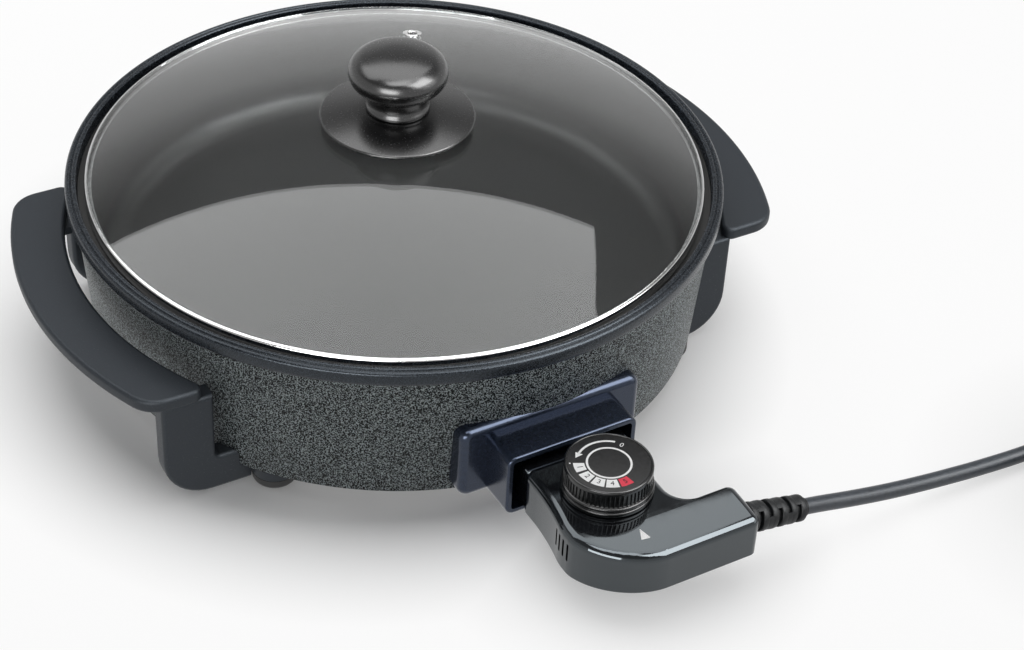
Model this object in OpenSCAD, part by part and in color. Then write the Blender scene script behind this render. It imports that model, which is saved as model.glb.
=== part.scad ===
// Electric skillet: a round pan with a lift-off glass lid, two side handles on legs,
// and a plug-in thermostat control with a dial, a probe and a cord.
// All lengths are millimetres. The pan is drawn about the Z axis, the control lies toward -Y,
// and stand() then moves everything so that the origin is under the middle of the appliance.

/* [Pan] */
// Outer radius of the rim bead
rim_r = 180; // [165:1:200]
// Height of the rim top above the table
rim_z = 99; // [92:1:115]
// Width of the rim bead
bead_w = 6.2; // [5:0.1:8]
// Height of the rim bead
bead_h = 9; // [7.5:0.5:11]
// Rounding of the rim bead
bead_round = 2.8; // [1:0.1:3]
// Depth of the lid seat below the rim top
seat_depth = 7; // [6:0.5:9]
// Width of the lid seat
seat_w = 6; // [5:0.5:8]
// Thickness of the bowl wall
bowl_wall = 3; // [2:0.25:4]
// Inner radius lost by the bowl wall from the seat down to the floor
bowl_draft = 5; // [2:0.5:8]
// Rounding between the bowl wall and the cooking floor
bowl_round = 12; // [8:1:16]
// Height of the cooking surface above the table
floor_z = 38; // [36:1:46]
// Thickness of the cooking floor
floor_t = 4; // [3.5:0.25:5]

/* [Outer shell] */
// How far the top of the shell lies inside the rim
shell_in = 4; // [3.6:0.1:5]
// Radius lost by the shell from its top down to its lower edge
shell_taper = 6; // [3:0.5:8]
// Thickness of the shell
shell_t = 1.2; // [0.8:0.1:2]
// Height of the lower edge of the shell above the table
shell_z = 12; // [10:0.5:14]
// Thickness of the base plate
plate_t = 1; // [0.8:0.1:2]
// Height of the upturned edge of the base plate
plate_edge = 8; // [5:0.5:12]
// Number of vent holes in the base plate
plate_vents = 12; // [6:1:18]

/* [Heating] */
// Radius of the heating ring
ring_r = 105; // [95:1:112]
// Radius of the heating tube
element_r = 4; // [3:0.25:4.5]
// Bend radius of the heating tube where it turns outward
element_bend = 15; // [12:1:20]
// Distance of each terminal pin from the middle
pin_x = 16; // [14:0.5:18]
// Radius of a terminal pin
pin_r = 2.4; // [1.8:0.1:2.6]
// Radius of a pin insulator
insulator_r = 5; // [4.5:0.25:6]

/* [Socket guard] */
// Half width of the guard flange
flange_w = 53; // [44:1:56]
// How far the flange front stands out from the lower edge of the shell
flange_out = 4.5; // [4:0.5:8]
// Lower edge of the guard
guard_low = 15; // [14:0.5:17]
// Upper edge of the flange
flange_top = 58.5; // [56:0.5:66]
// Half width of the guard box
box_w = 38; // [35:0.5:42]
// Upper edge of the guard box
box_top = 52.5; // [51.5:0.5:55]
// Length of the guard box in front of the flange
box_l = 21; // [19:0.5:24]
// Thickness of the guard walls
guard_wall = 3; // [2:0.25:3.5]

/* [Handles] */
// Gap between the rim and the handle plate
plate_gap = 2; // [1:0.5:6]
// Depth of the handle plate
plate_deep = 29; // [24:0.5:40]
// Height of the handle plate top
handle_z = 70; // [62:1:78]
// Thickness of the handle plate
handle_t = 8; // [6:0.5:12]
// Distance from the middle of the handle plate to its straight ends
handle_end = 99; // [95:0.5:103]
// Turn of the two handles about the pan, away from the line of the guard
handle_turn = 0.9; // [0:0.1:3]
// Rounding of the outer corners of the handle plate
corner_r = 18; // [10:0.5:20]
// Thickness of a leg
leg_t = 12; // [8:0.5:14]
// Depth of a leg
leg_d = 28; // [24:0.5:30]
// How far a leg stays behind the outer edge of the plate
leg_back = 31.5; // [28:0.5:34]
// How much closer to the pan the second leg of each handle stands
leg_shift = 19.5; // [0:0.5:24]
// Rounding at the outer foot of a leg
leg_round = 25; // [15:1:26]
// Height of the arm that runs under the pan
arm_h = 22.5; // [16:0.5:28]
// How far the middle of a foot stands outside its leg
foot_side = 3; // [0:0.5:6]
// Radius of a foot and of the boss above it
foot_r = 12; // [10:0.5:14]
// Height of a rubber foot
foot_h = 6; // [5:0.25:6.5]
// Rounding under a rubber foot
foot_round = 3.5; // [1:0.25:4]
// Radius of the handle screws
handle_screw_r = 2.4; // [2:0.1:2.8]

/* [Lid] */
// Gap between the lid band and the rim
lid_gap = 4.3; // [2:0.1:5]
// Thickness of the lid band
band_t = 1; // [0.6:0.1:1.4]
// Width of the band lip over the glass
lip_w = 3; // [2:0.25:4]
// Thickness of the glass
glass_t = 4; // [3:0.25:4.5]
// Rise of the glass dome
dome_rise = 32; // [24:1:42]
// Radius of the flared base under the knob
skirt_r = 42.2; // [34:0.5:50]
// Height of the flared base
skirt_h = 6.5; // [5:0.5:9]
// Radius of the knob neck
neck_r = 17; // [14:0.5:19]
// Height of the knob neck
neck_h = 9; // [7:0.5:13]
// Radius of the knob at its widest
knob_r = 27; // [22:0.5:30]
// Height of the rounded part of the knob
knob_h = 25.7; // [22:0.5:32]
// Radius of the knob screw
knob_screw_r = 2.5; // [2:0.1:3]
// Radius of the steam vent hole
vent_r = 3; // [2:0.25:4]
// Distance of the steam vent from the middle of the lid
vent_out = 108; // [80:1:130]
// Direction of the steam vent
vent_angle = 58; // [0:1:359]

/* [Control] */
// Height of the underside of the control
control_low = 21; // [20:0.5:21.5]
// Height of the top of the control
control_top_z = 46.5; // [45.5:0.5:49]
// Height of the seam between the two halves
seam_z = 26; // [25.5:0.25:28]
// Half width of the control nose
nose_w = 30; // [27:0.5:31]
// Gap between the nose face and the back of the guard
nose_gap = 4; // [3:0.5:6]
// Length of the nose inside the guard
nose_l = 19.5; // [18:0.5:20.5]
// Step between the top of the nose and the top of the control
nose_drop = 1.2; // [0.6:0.1:2]
// Length of the control body in front of the guard
body_l = 80; // [76:0.5:84]
// Left side of the control
side_x = 35; // [33:0.5:36]
// Half width of the control behind its flare
waist_x = 31; // [29.5:0.5:32]
// Reach of the cord arm to the right
arm_x = 58; // [54:0.5:64]
// Width of the cord arm
arm_w = 28; // [25:0.5:30]
// Radius of the curve round the front corner
front_round = 46; // [46:1:52]
// Distance of the middle of that curve to the right of the dial
front_mid = 8; // [6:0.5:9]
// Rounding of the inner corner of the arm
inner_round = 12; // [8:0.5:14]
// Rounding of the arm end
arm_round = 3; // [2:0.5:6]
// Thickness of the control housing
case_wall = 2.2; // [1.6:0.1:2.6]
// Number of vent slots on the left side
vent_slots = 4; // [2:1:5]
// Length of the probe beyond the nose
probe_l = 69.5; // [60:0.5:72]
// Radius of the probe
probe_r = 3; // [2.5:0.1:3.2]

/* [Dial] */
// Distance of the dial axis from the back of the control body
dial_back = 27; // [25:0.5:31]
// Radius of the dial
dial_r = 22.4; // [18:0.2:25]
// Height of the dial
dial_h = 15.4; // [12:0.2:20]
// How far the ring round the foot of the dial stands out
dial_foot_out = 1.2; // [0.6:0.1:2]
// Number of grip flutes round the dial
dial_flutes = 48; // [24:4:60]
// Thickness of the printed plate
dial_plate_t = 1; // [0.6:0.1:1.5]
// Radius of the spindle
spindle_r = 3; // [2.5:0.1:3.5]

/* [Cord] */
// Diameter of the cord
cord_d = 8.6; // [8:0.1:9]
// Length of the strain relief outside the control
relief_l = 38; // [30:1:44]
// Radius of the strain relief at the control
relief_r = 8.3; // [7.5:0.1:9]
// How far the strain relief droops, in degrees
relief_tilt = 12; // [4:1:16]
// Number of loops in the coil
coil_loops = 3; // [3:1:5]
// Radius of the outer loop
coil_r = 52; // [50:1:60]
// Run of the cord from the strain relief to the coil
coil_run = 188; // [180:1:220]
// Length of the plug body
plug_l = 38; // [32:1:44]
// Width of the plug body
plug_w = 27; // [26:0.5:32]

/* [Hidden] */
$fn = 96;

// Clearances: between pieces that only lie close, between moving pieces, on a running shaft
seat_gap = 0.2;
move_gap = 0.3;
shaft_gap = 0.05;
screw_gap = 0.1;

// Overlap that joins two shapes or lets a cut run clear
lap = 1;

// Pan levels and radii
seat_r = rim_r - bead_w;
ledge_z = rim_z - seat_depth;
ledge_low = ledge_z - bowl_wall;
bead_low = rim_z - bead_h;
bowl_top_r = seat_r - seat_w;
bowl_low_r = bowl_top_r - bowl_draft;
floor_r = bowl_low_r - bowl_round;
floor_low = floor_z - floor_t;
arc_steps = 8;

// Shell and base plate
shell_top_r = rim_r - shell_in;
shell_low_r = shell_top_r - shell_taper;
shell_top = ledge_low - seat_gap;
shell_slope = (shell_top_r - shell_low_r) / (shell_top - shell_z);
shell_lap = 0.5;
locate_h = 4;
locate_r = shell_r(ledge_low - locate_h) - shell_t - move_gap;
plate_r = shell_low_r - shell_t - seat_gap;
plate_top = shell_z + plate_t;
vent_hole_r = 3;
vent_ring_out = 25;
vent_ring_r = ring_r + vent_ring_out;
cut_in = 20;

// Heating ring: it lies in a channel under the floor and its ends run out as pins
element_z = floor_low - element_r - seat_gap;
channel_t = 3;
channel_h = 5;
channel_gap_half = 26;
bend_x = pin_x + element_bend;
bend_y = sqrt(pow(ring_r + element_bend, 2) - bend_x * bend_x);
bend_angle = atan2(bend_x, bend_y);
joint_gap = 0.05;
joint_angle = 0.03;
core_inset = 0.5;
tube_end_in = 12;
tube_end_y = shell_low_r - tube_end_in;
collar_out = 1.6;
collar_l = 5;

// Handles, and the pillars that carry their screws
plate_in_r = rim_r + plate_gap;
plate_out_r = plate_in_r + plate_deep;
plate_round = handle_t / 2 - 0.5;
leg_inset = 0.4;
leg_y = handle_end - leg_inset;
leg_out = plate_out_r - leg_back;
second_out = leg_out - leg_shift;
web_t = 4;
web_lap = 4;
web_y = leg_y - leg_t + web_lap;
web_l = 22;
web_in = 13;
web_out = 17;
end_y = handle_end - corner_r;
end_x = sqrt(pow(plate_out_r - corner_r, 2) - end_y * end_y);
end_angle = atan2(end_y, end_x);
plate_sweep = 40;
leg_low = 1;
pillar_r = 6;
pillar_gap = 3.8;
pillar_in = 0.5;
pillar_top = floor_z - pillar_in;
foot_ring = plate_r - plate_t - pillar_r - pillar_gap;
foot_y = leg_y + foot_side;
foot_x = sqrt(foot_ring * foot_ring - foot_y * foot_y);
screw_head_r = 4.5;
screw_head_h = 2.8;
screw_bite = 13;
screw_end_gap = 1;
handle_screw_top = plate_top + screw_bite;
boss_top = shell_z;

// Socket guard
flange_round = 6;
box_round = 5;
flange_y = shell_low_r + flange_out;
box_y = flange_y + box_l;
guard_back = sqrt(shell_low_r * shell_low_r - flange_w * flange_w) - cut_in;
cavity_back = flange_y + guard_wall;
pin_back = 5;
pin_end_y = box_y - pin_back;
probe_hole_r = probe_r + move_gap + shell_lap;
guard_screw_r = 1.8;
guard_screw_down = 5;
guard_screw_in = 7;
guard_screw_z = element_z - guard_screw_down;
guard_screw_angle = asin((flange_w - guard_screw_in) / shell_low_r);
guard_screw_l = 8;
guard_head_r = 3.4;
guard_head_h = 2;
guard_head_gap = 0.4;

// Lid
band_r = seat_r - lid_gap;
band_low = ledge_z + move_gap;
glass_r = band_r - band_t - seat_gap;
glass_edge_low = band_low + band_t + seat_gap;
glass_edge_top = glass_edge_low + glass_t;
dome_sphere = (glass_r * glass_r + dome_rise * dome_rise) / (2 * dome_rise);
dome_centre = glass_edge_top + dome_rise - dome_sphere;
dome_top = glass_edge_top + dome_rise;
gasket_t = 0.8;
gasket_r = 12;
skirt_z = dome_top + gasket_t;
skirt_edge = 2;
skirt_top = skirt_z + skirt_h;
knob_mid = skirt_top + neck_h + knob_h / 2;
washer_t = 1.2;
washer_r = 11;
knob_head_r = 5;
knob_head_h = 2.5;
knob_end_gap = 1;
neck_waist = 1.5;
band_fold = 1.5;
skirt_rise = 0.4;
skirt_lip = 1;
skirt_land = 2;
glass_hole_gap = 1.5;
glass_hole_r = knob_screw_r + glass_hole_gap;
dome_steps = 16;
knob_bore_top = knob_mid;
vent_flange = 2.6;
vent_flange_t = 0.9;
vent_sleeve = 0.9;
vent_tilt = asin(vent_out / dome_sphere);

// Control housing
nose_lift = 1;
nose_low = guard_low + guard_wall + nose_lift;
nose_y = cavity_back + nose_gap;
body_y = nose_y + nose_l;
front_y = body_y + body_l;
arm_back = front_y - arm_w;
right_in = 4;
right_x = nose_w - right_in;
flare_l = 41;
waist_l = 24;
flare_y = body_y + flare_l;
flare_start = 3;
nose_lap = 5;
roof_t = 2.5;
floor_in = control_low + case_wall;
roof_in = control_top_z - roof_t;
post_r = 3.6;
case_screw_r = 1.4;
case_head_r = 2.6;
case_head_h = 1.6;
case_screw_l = 14;
head_sink = 1;
case_screw_end = control_low + head_sink - seat_gap + case_head_h + case_screw_l;
front_post = [10, 3];
arm_post = [13, 5.6];
back_post = [5.2, 22];
case_screws = [
    [-side_x + front_post[0], -flare_y - front_post[1]],
    [arm_x - arm_post[0], -arm_back - arm_post[1]],
    [-nose_w + back_post[0], -body_y - back_post[1]]
];
slot_w = 1.6;
slot_pitch = 4;
slot_start = 4;
slot_up = 3;
slot_low = seam_z + slot_up;
slot_h = 11;
slot_cut = 5;

// Origin: the middle of the appliance without its cord
frame_y = (front_y - rim_r) / 2;

// Parts inside the control
block_l = 14;
block_y = nose_y + case_wall + seat_gap;
block_gap = 1;
block_w = nose_w - case_wall - block_gap;
block_low = max(nose_low, control_low) + case_wall + seat_gap;
block_top = roof_in - nose_drop - seat_gap;
sleeve_wall = 1.1;
sleeve_in_r = pin_r + screw_gap;
sleeve_out = 3;
sleeve_end = block_y + block_l + sleeve_out;
pin_hole_gap = 0.9;
blade_t = 0.8;
blade_l = 26;
probe_end = sleeve_end + lap;
bimetal_down = 0.6;
bimetal_over = 8;
bimetal_z = element_z - bimetal_down;
lug_w = 7;
lug_wall = 3;
probe_tip = nose_y - probe_l;

// Dial and spindle
dial_y = body_y + dial_back;
dial_foot_r = dial_r + dial_foot_out;
dial_gap = 0.6;
dial_low = control_top_z + dial_gap;
dial_foot_h = 2.4;
dial_top = dial_low + dial_h;
dial_rim = 1.4;
dial_wall = 2.4;
flute_r = 0.7;
flute_up = 0.6;
hub_r = 6.5;
collar_r = 6;
collar_t = 2;
bearing_wall = 2;
bearing_h = 4;
dial_roof = 2;
spindle_low = bimetal_z + blade_t + move_gap;
spindle_top = dial_top - dial_plate_t - dial_roof;

// Strain relief, cord, coil and plug
relief_z = 32.5;
relief_y = front_y - arm_w / 2;
relief_tip_r = 7;
relief_root = 4;
relief_neck_r = 5.6;
relief_flange_out = 1.2;
relief_flange_r = relief_neck_r + relief_flange_out;
relief_flange_t = 2;
relief_dir = [cos(relief_tilt), 0, -sin(relief_tilt)];
relief_tip = [arm_x, -relief_y, relief_z] + relief_l * relief_dir;
cord_r = cord_d / 2;
floor_gap = 0.1;
tie_t = 0.8;
tie_w = 5;
tie_gap = 0.4;
coil_low = floor_gap + tie_t + tie_gap + cord_r;
loop_gap = 0.8;
layer_gap = 1;
coil_step = cord_d + loop_gap;
coil_layer = cord_d + layer_gap;
coil_top = coil_low + coil_layer;
loop_steps = 24;
full_turn = 360;
coil_side = 5;
coil_x = relief_tip[0] + coil_run;
coil_entry_y = -relief_y - coil_side;
coil_centre = [coil_x, coil_entry_y - coil_r];
coil_end_x = coil_x + cord_d;
// Way of the cord from the tip of the strain relief to the table: run, side, fall
route_steps = [
    [7, 0, 1.5], [15, 0, 3.4], [25, 0.3, 5.6], [37, 0.7, 8], [49, 1.1, 10.2],
    [61, 1.5, 12.1], [73, 1.9, 13.7], [85, 2.3, 15.1], [97, 2.7, 16.3], [109, 3.1, 17.4],
    [121, 3.5, 18.2], [133, 4, 18.7], [145, 4.5, 18.9], [161, 5, 19]
];
cord_path = concat(
    [relief_tip],
    [for (s = route_steps) relief_tip + [s[0], -s[1], -s[2]]],
    [[coil_x - cord_d, coil_entry_y, coil_low]]
);
plug_relief_l = 30;
plug_h = 2 * (coil_top - move_gap);
plug_round = 5;
plug_neck_out = 0.8;
plug_cone_r = 8;
tie_round = 2;
plug_x = coil_end_x + plug_relief_l;
blade_gap = 6.35;
blade_up = 4;
blade_size = [16, 1.5, 6.35];
ground_r = 2.4;
ground_l = 19;
ground_down = 7.9;

// Helpers

// Points of an arc about c, from angle a0 to a1
function arc(c, r, a0, a1) =
    [for (i = [0 : arc_steps]) c + r * [cos(a0 + (a1 - a0) * i / arc_steps),
                                        sin(a0 + (a1 - a0) * i / arc_steps)]];

// Radius of the outside of the shell at height z
function shell_r(z) = shell_low_r + shell_slope * (z - shell_z);

// Height of the outside of the glass at radius r
function dome_z(r) = dome_centre + sqrt(dome_sphere * dome_sphere - r * r);

function unit(v) = v / norm(v);

// Flat rectangle with round corners between two corner points
module round_rect(a, b, r) {
    translate([a[0] + r, a[1]]) square([b[0] - a[0] - 2 * r, b[1] - a[1]]);
    translate([a[0], a[1] + r]) square([b[0] - a[0], b[1] - a[1] - 2 * r]);
    for (x = [a[0] + r, b[0] - r])
        for (y = [a[1] + r, b[1] - r])
            translate([x, y]) circle(r);
}

// A flat shape in X and Z, carried along Y from y0 to y1
module along_y(y0, y1) {
    translate([0, y1, 0]) rotate([90, 0, 0]) linear_extrude(y1 - y0) children();
}

// A rod along Y from y0 to y1
module rod_y(x, z, r, y0, y1) {
    translate([x, y1, z]) rotate([90, 0, 0]) cylinder(r = r, h = y1 - y0);
}

// A rod along X from x0 to x1
module rod_x(y, z, r, x0, x1, tip_r) {
    translate([x0, y, z]) rotate([0, 90, 0])
        cylinder(r1 = r, r2 = is_undef(tip_r) ? r : tip_r, h = x1 - x0);
}

// Solid inside of the shell, a seat gap larger, for cutting what seats on it
module shell_core() {
    rotate_extrude() polygon([
        [0, shell_z], [shell_low_r + seat_gap, shell_z],
        [shell_r(rim_z) + seat_gap, rim_z], [0, rim_z]
    ]);
}

// Screw with a round head, standing on its head at z = 0
module screw(head_r, head_h, shank_r, shank_l) {
    cylinder(r = head_r, h = head_h);
    translate([0, 0, head_h]) cylinder(r = shank_r, h = shank_l);
}

// Tube of triangles along a path, with a direction at each point
module tube(path, dirs, r, sides) {
    n = len(path);
    rings = [for (i = [0 : n - 1])
        let (side = unit(cross([0, 0, 1], dirs[i])), up = cross(dirs[i], side))
        for (k = [0 : sides - 1])
            path[i] + r * (cos(360 * k / sides) * side + sin(360 * k / sides) * up)];
    walls = [for (i = [0 : n - 2]) for (k = [0 : sides - 1])
        let (a = i * sides + k, b = i * sides + (k + 1) % sides)
        for (face = [[a, b, a + sides], [b, b + sides, a + sides]]) face];
    first = [for (k = [1 : sides - 2]) [0, k + 1, k]];
    last = [for (k = [1 : sides - 2]) [(n - 1) * sides, (n - 1) * sides + k, (n - 1) * sides + k + 1]];
    polyhedron(rings, concat(walls, first, last));
}

// Moves the appliance so that the origin is under its middle
module stand() {
    translate([0, frame_y, 0]) children();
}

// Copies to the four feet
module at_feet() {
    rotate([0, 0, -handle_turn]) for (sx = [-1, 1]) for (sy = [-1, 1])
        translate([sx * foot_x, sy * foot_y, 0]) children();
}

// Pan

module pan_profile() {
    polygon(concat(
        [[0, floor_low], [0, floor_z]],
        arc([floor_r, floor_z + bowl_round], bowl_round, -90, 0),
        [[bowl_top_r, ledge_z], [seat_r, ledge_z]],
        arc([seat_r + bead_round, rim_z - bead_round], bead_round, 180, 90),
        arc([rim_r - bead_round, rim_z - bead_round], bead_round, 90, 0),
        arc([rim_r - bead_round, bead_low + bead_round], bead_round, 0, -90),
        [[shell_top_r + shell_lap, bead_low], [shell_top_r + shell_lap, ledge_low], [locate_r, ledge_low]],
        [[locate_r, ledge_low - locate_h], [bowl_top_r + bowl_wall, ledge_low - locate_h]],
        arc([floor_r, floor_z + bowl_round], bowl_round + bowl_wall, 0, -90),
        [[floor_r, floor_low]]
    ));
}

module pan() {
    color([0.10, 0.10, 0.11]) difference() {
        union() {
            rotate_extrude() pan_profile();
            // channel ribs that hold the heating ring
            rotate_extrude() translate([ring_r - element_r - seat_gap - channel_t, floor_low - channel_h])
                square([channel_t, channel_h + lap]);
            rotate([0, 0, -90 + channel_gap_half]) rotate_extrude(angle = 360 - 2 * channel_gap_half)
                translate([ring_r + element_r + seat_gap, floor_low - channel_h])
                    square([channel_t, channel_h + lap]);
            at_feet() translate([0, 0, plate_top]) cylinder(r = pillar_r, h = pillar_top - plate_top);
            // lug for the probe
            translate([-lug_w, -floor_r, element_z - probe_r - lug_wall])
                cube([2 * lug_w, floor_r - probe_tip + lug_wall + lap,
                      floor_low + lap - element_z + probe_r + lug_wall]);
        }
        at_feet() translate([0, 0, plate_top - lap])
            cylinder(r = handle_screw_r + screw_gap, h = handle_screw_top - plate_top + 2 * lap);
        rod_y(0, element_z, probe_r + move_gap, -floor_r - lap, -probe_tip + lap);
    }
}

module outer_shell() {
    color([0.30, 0.31, 0.33]) difference() {
        rotate_extrude() polygon([
            [shell_low_r - shell_t, shell_z], [shell_low_r, shell_z],
            [shell_top_r, shell_top], [shell_top_r - shell_t, shell_top]
        ]);
        for (sx = [-1, 1])
            rod_y(sx * pin_x, element_z, insulator_r + seat_gap, -flange_y, -shell_low_r + cut_in);
        rod_y(0, element_z, probe_hole_r, -flange_y, -shell_low_r + cut_in);
        for (sx = [-1, 1])
            rotate([0, 0, -90 + sx * guard_screw_angle]) translate([shell_low_r - cut_in, 0, guard_screw_z])
                rotate([0, 90, 0]) cylinder(r = guard_screw_r + seat_gap, h = 2 * cut_in);
    }
}

module base_plate() {
    color([0.55, 0.56, 0.58]) difference() {
        union() {
            translate([0, 0, shell_z]) cylinder(r = plate_r, h = plate_t);
            rotate_extrude() translate([plate_r - plate_t, shell_z]) square([plate_t, plate_edge]);
        }
        at_feet() translate([0, 0, shell_z - lap])
            cylinder(r = handle_screw_r + seat_gap, h = plate_t + 2 * lap);
        for (i = [0 : plate_vents - 1])
            rotate([0, 0, (i + 0.5) * 360 / plate_vents]) translate([vent_ring_r, 0, shell_z - lap])
                cylinder(r = vent_hole_r, h = plate_t + 2 * lap);
    }
}

// Heating ring with a bend at each end and a pin that runs out to the socket.
// The lengths of tube stand a hair apart and are joined by a thinner core.
module heating_element() {
    color([0.45, 0.44, 0.43]) {
        translate([0, 0, element_z]) rotate([0, 0, -90 + bend_angle + joint_angle])
            rotate_extrude(angle = 360 - 2 * (bend_angle + joint_angle))
                translate([ring_r, 0]) circle(element_r);
        for (m = [0, 1]) mirror([m, 0, 0]) {
            translate([bend_x, -bend_y, element_z]) rotate([0, 0, 90 + bend_angle])
                rotate_extrude(angle = 90 - bend_angle) translate([element_bend, 0]) circle(element_r);
            rod_y(pin_x, element_z, element_r, -tube_end_y, -bend_y - joint_gap);
            rod_y(pin_x, element_z, element_r - core_inset, -bend_y - lap, -bend_y + lap);
            rotate([0, 0, bend_angle]) translate([-lap, -ring_r, element_z]) rotate([0, 90, 0])
                cylinder(r = element_r - core_inset, h = 2 * lap);
            rod_y(pin_x, element_z, pin_r, -pin_end_y, -tube_end_y + lap);
        }
    }
}

module pin_insulators() {
    color([0.88, 0.85, 0.78]) for (sx = [-1, 1]) difference() {
        union() {
            rod_y(sx * pin_x, element_z, insulator_r, -cavity_back, -tube_end_y - seat_gap);
            rod_y(sx * pin_x, element_z, insulator_r + collar_out,
                  -tube_end_y - collar_l, -tube_end_y - seat_gap);
        }
        rod_y(sx * pin_x, element_z, pin_r + screw_gap, -cavity_back - lap, -tube_end_y + lap);
    }
}

module socket_guard() {
    color([0.11, 0.12, 0.16]) difference() {
        union() {
            along_y(-flange_y, -guard_back)
                round_rect([-flange_w, guard_low], [flange_w, flange_top], flange_round);
            along_y(-box_y, -flange_y + lap) round_rect([-box_w, guard_low], [box_w, box_top], box_round);
        }
        shell_core();
        along_y(-box_y - lap, -cavity_back)
            round_rect([-box_w + guard_wall, guard_low + guard_wall],
                       [box_w - guard_wall, box_top - guard_wall], box_round - guard_wall);
        for (sx = [-1, 1])
            rod_y(sx * pin_x, element_z, insulator_r + seat_gap, -box_y, -shell_low_r + cut_in);
        rod_y(0, element_z, probe_hole_r, -box_y, -shell_low_r + cut_in);
        for (sx = [-1, 1])
            rotate([0, 0, -90 + sx * guard_screw_angle]) translate([shell_low_r - cut_in, 0, guard_screw_z])
                rotate([0, 90, 0])
                    cylinder(r = guard_screw_r + screw_gap, h = cut_in + guard_screw_l);
    }
}

module guard_screws() {
    inside = shell_r(guard_screw_z) - shell_t;
    color([0.72, 0.73, 0.75]) for (sx = [-1, 1])
        rotate([0, 0, -90 + sx * guard_screw_angle])
            translate([inside - guard_head_h - guard_head_gap, 0, guard_screw_z]) rotate([0, 90, 0])
                screw(guard_head_r, guard_head_h, guard_screw_r, shell_t + guard_screw_l - screw_end_gap);
}

// Handles

// Side view of one leg, out to a distance, with the arm that runs under the pan
module leg_outline(out) {
    polygon(concat(
        [[foot_x, leg_low], [out - leg_round, leg_low]],
        arc([out - leg_round, leg_low + leg_round], leg_round, -90, 0),
        [[out, handle_z - handle_t + lap], [out - leg_d, handle_z - handle_t + lap]],
        [[out - leg_d, arm_h], [foot_x, arm_h]]
    ));
}

// Curved plate along the rim, cut straight at both ends, with rounded outer corners
module handle_plate() {
    intersection() {
        rotate([0, 0, -plate_sweep]) rotate_extrude(angle = 2 * plate_sweep)
            round_rect([plate_in_r, handle_z - handle_t], [plate_out_r, handle_z], plate_round);
        translate([0, 0, handle_z - handle_t - lap]) linear_extrude(handle_t + 2 * lap) polygon(concat(
            [[plate_in_r / 2, -handle_end]],
            arc([end_x, -end_y], corner_r, -90, -end_angle),
            arc([0, 0], plate_out_r + lap, -end_angle, end_angle),
            arc([end_x, end_y], corner_r, end_angle, 90),
            [[plate_in_r / 2, handle_end]]
        ));
    }
}

// The rear leg stands under the plate, the front one closer to the pan with a flat web to the plate
module right_handle() {
    color([0.21, 0.23, 0.26]) rotate([0, 0, -handle_turn]) difference() {
        union() {
            handle_plate();
            along_y(leg_y - leg_t, leg_y) leg_outline(leg_out);
            along_y(-leg_y, leg_t - leg_y) leg_outline(second_out);
            translate([second_out - web_in, -web_y, handle_z - handle_t - web_t])
                cube([web_in + web_out, web_l, web_t + lap]);
            for (sy = [-1, 1]) translate([foot_x, sy * foot_y, foot_h])
                cylinder(r = foot_r, h = boss_top - foot_h);
        }
        shell_core();
        for (sy = [-1, 1]) translate([foot_x, sy * foot_y, 0]) {
            translate([0, 0, -lap]) cylinder(r = foot_r + move_gap, h = foot_h + lap);
            translate([0, 0, foot_h - lap])
                cylinder(r = screw_head_r + seat_gap, h = lap + screw_head_h + seat_gap);
            cylinder(r = handle_screw_r + seat_gap, h = boss_top + 2 * lap);
        }
    }
}

// The same moulding, turned half a turn
module left_handle() {
    rotate([0, 0, 180]) right_handle();
}

module handle_screws() {
    color([0.72, 0.73, 0.75]) at_feet() translate([0, 0, foot_h + seat_gap / 2])
        screw(screw_head_r, screw_head_h, handle_screw_r,
              handle_screw_top - foot_h - screw_head_h - screw_end_gap);
}

// Rubber foot with a rounded lower edge
module foot(sx, sy) {
    color([0.07, 0.07, 0.08]) rotate([0, 0, -handle_turn]) translate([sx * foot_x, sy * foot_y, 0])
        rotate_extrude() polygon(concat(
        [[0, 0]],
        arc([foot_r - foot_round, foot_round], foot_round, -90, 0),
        [[foot_r, foot_h], [0, foot_h]]
    ));
}

// Lid

module lid_glass() {
    color([0.80, 0.88, 0.90, 0.35]) difference() {
        rotate_extrude() polygon(concat(
            [for (i = [0 : dome_steps]) let (r = glass_r * i / dome_steps) [r, dome_z(r)]],
            [for (i = [dome_steps : -1 : 0]) let (r = glass_r * i / dome_steps) [r, dome_z(r) - glass_t]]
        ));
        translate([0, 0, glass_edge_top]) cylinder(r = glass_hole_r, h = 2 * dome_rise);
        at_vent() translate([0, 0, -2 * glass_t])
            cylinder(r = vent_r + vent_sleeve + seat_gap, h = 4 * glass_t);
    }
}

// Places a piece on the outside of the glass, square to it, at the steam vent
module at_vent() {
    rotate([0, 0, vent_angle]) translate([0, 0, dome_centre]) rotate([0, vent_tilt, 0])
        translate([0, 0, dome_sphere]) children();
}

// Steel band folded round the edge of the glass
module lid_band() {
    lip_r = band_r - lip_w;
    color([0.80, 0.81, 0.82]) rotate_extrude() polygon([
        [lip_r - band_fold, band_low], [band_r, band_low], [band_r, glass_edge_top + seat_gap],
        [band_r - band_t, dome_z(band_r - band_t) + seat_gap + band_t],
        [lip_r, dome_z(lip_r) + seat_gap + band_t], [lip_r, dome_z(lip_r) + seat_gap],
        [band_r - band_t, glass_edge_top + seat_gap], [band_r - band_t, band_low + band_t],
        [lip_r - band_fold, band_low + band_t]
    ]);
}

module lid_gasket() {
    color([0.85, 0.85, 0.83]) translate([0, 0, dome_top]) difference() {
        cylinder(r = gasket_r, h = gasket_t);
        translate([0, 0, -lap]) cylinder(r = glass_hole_r, h = gasket_t + 2 * lap);
    }
}

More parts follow.
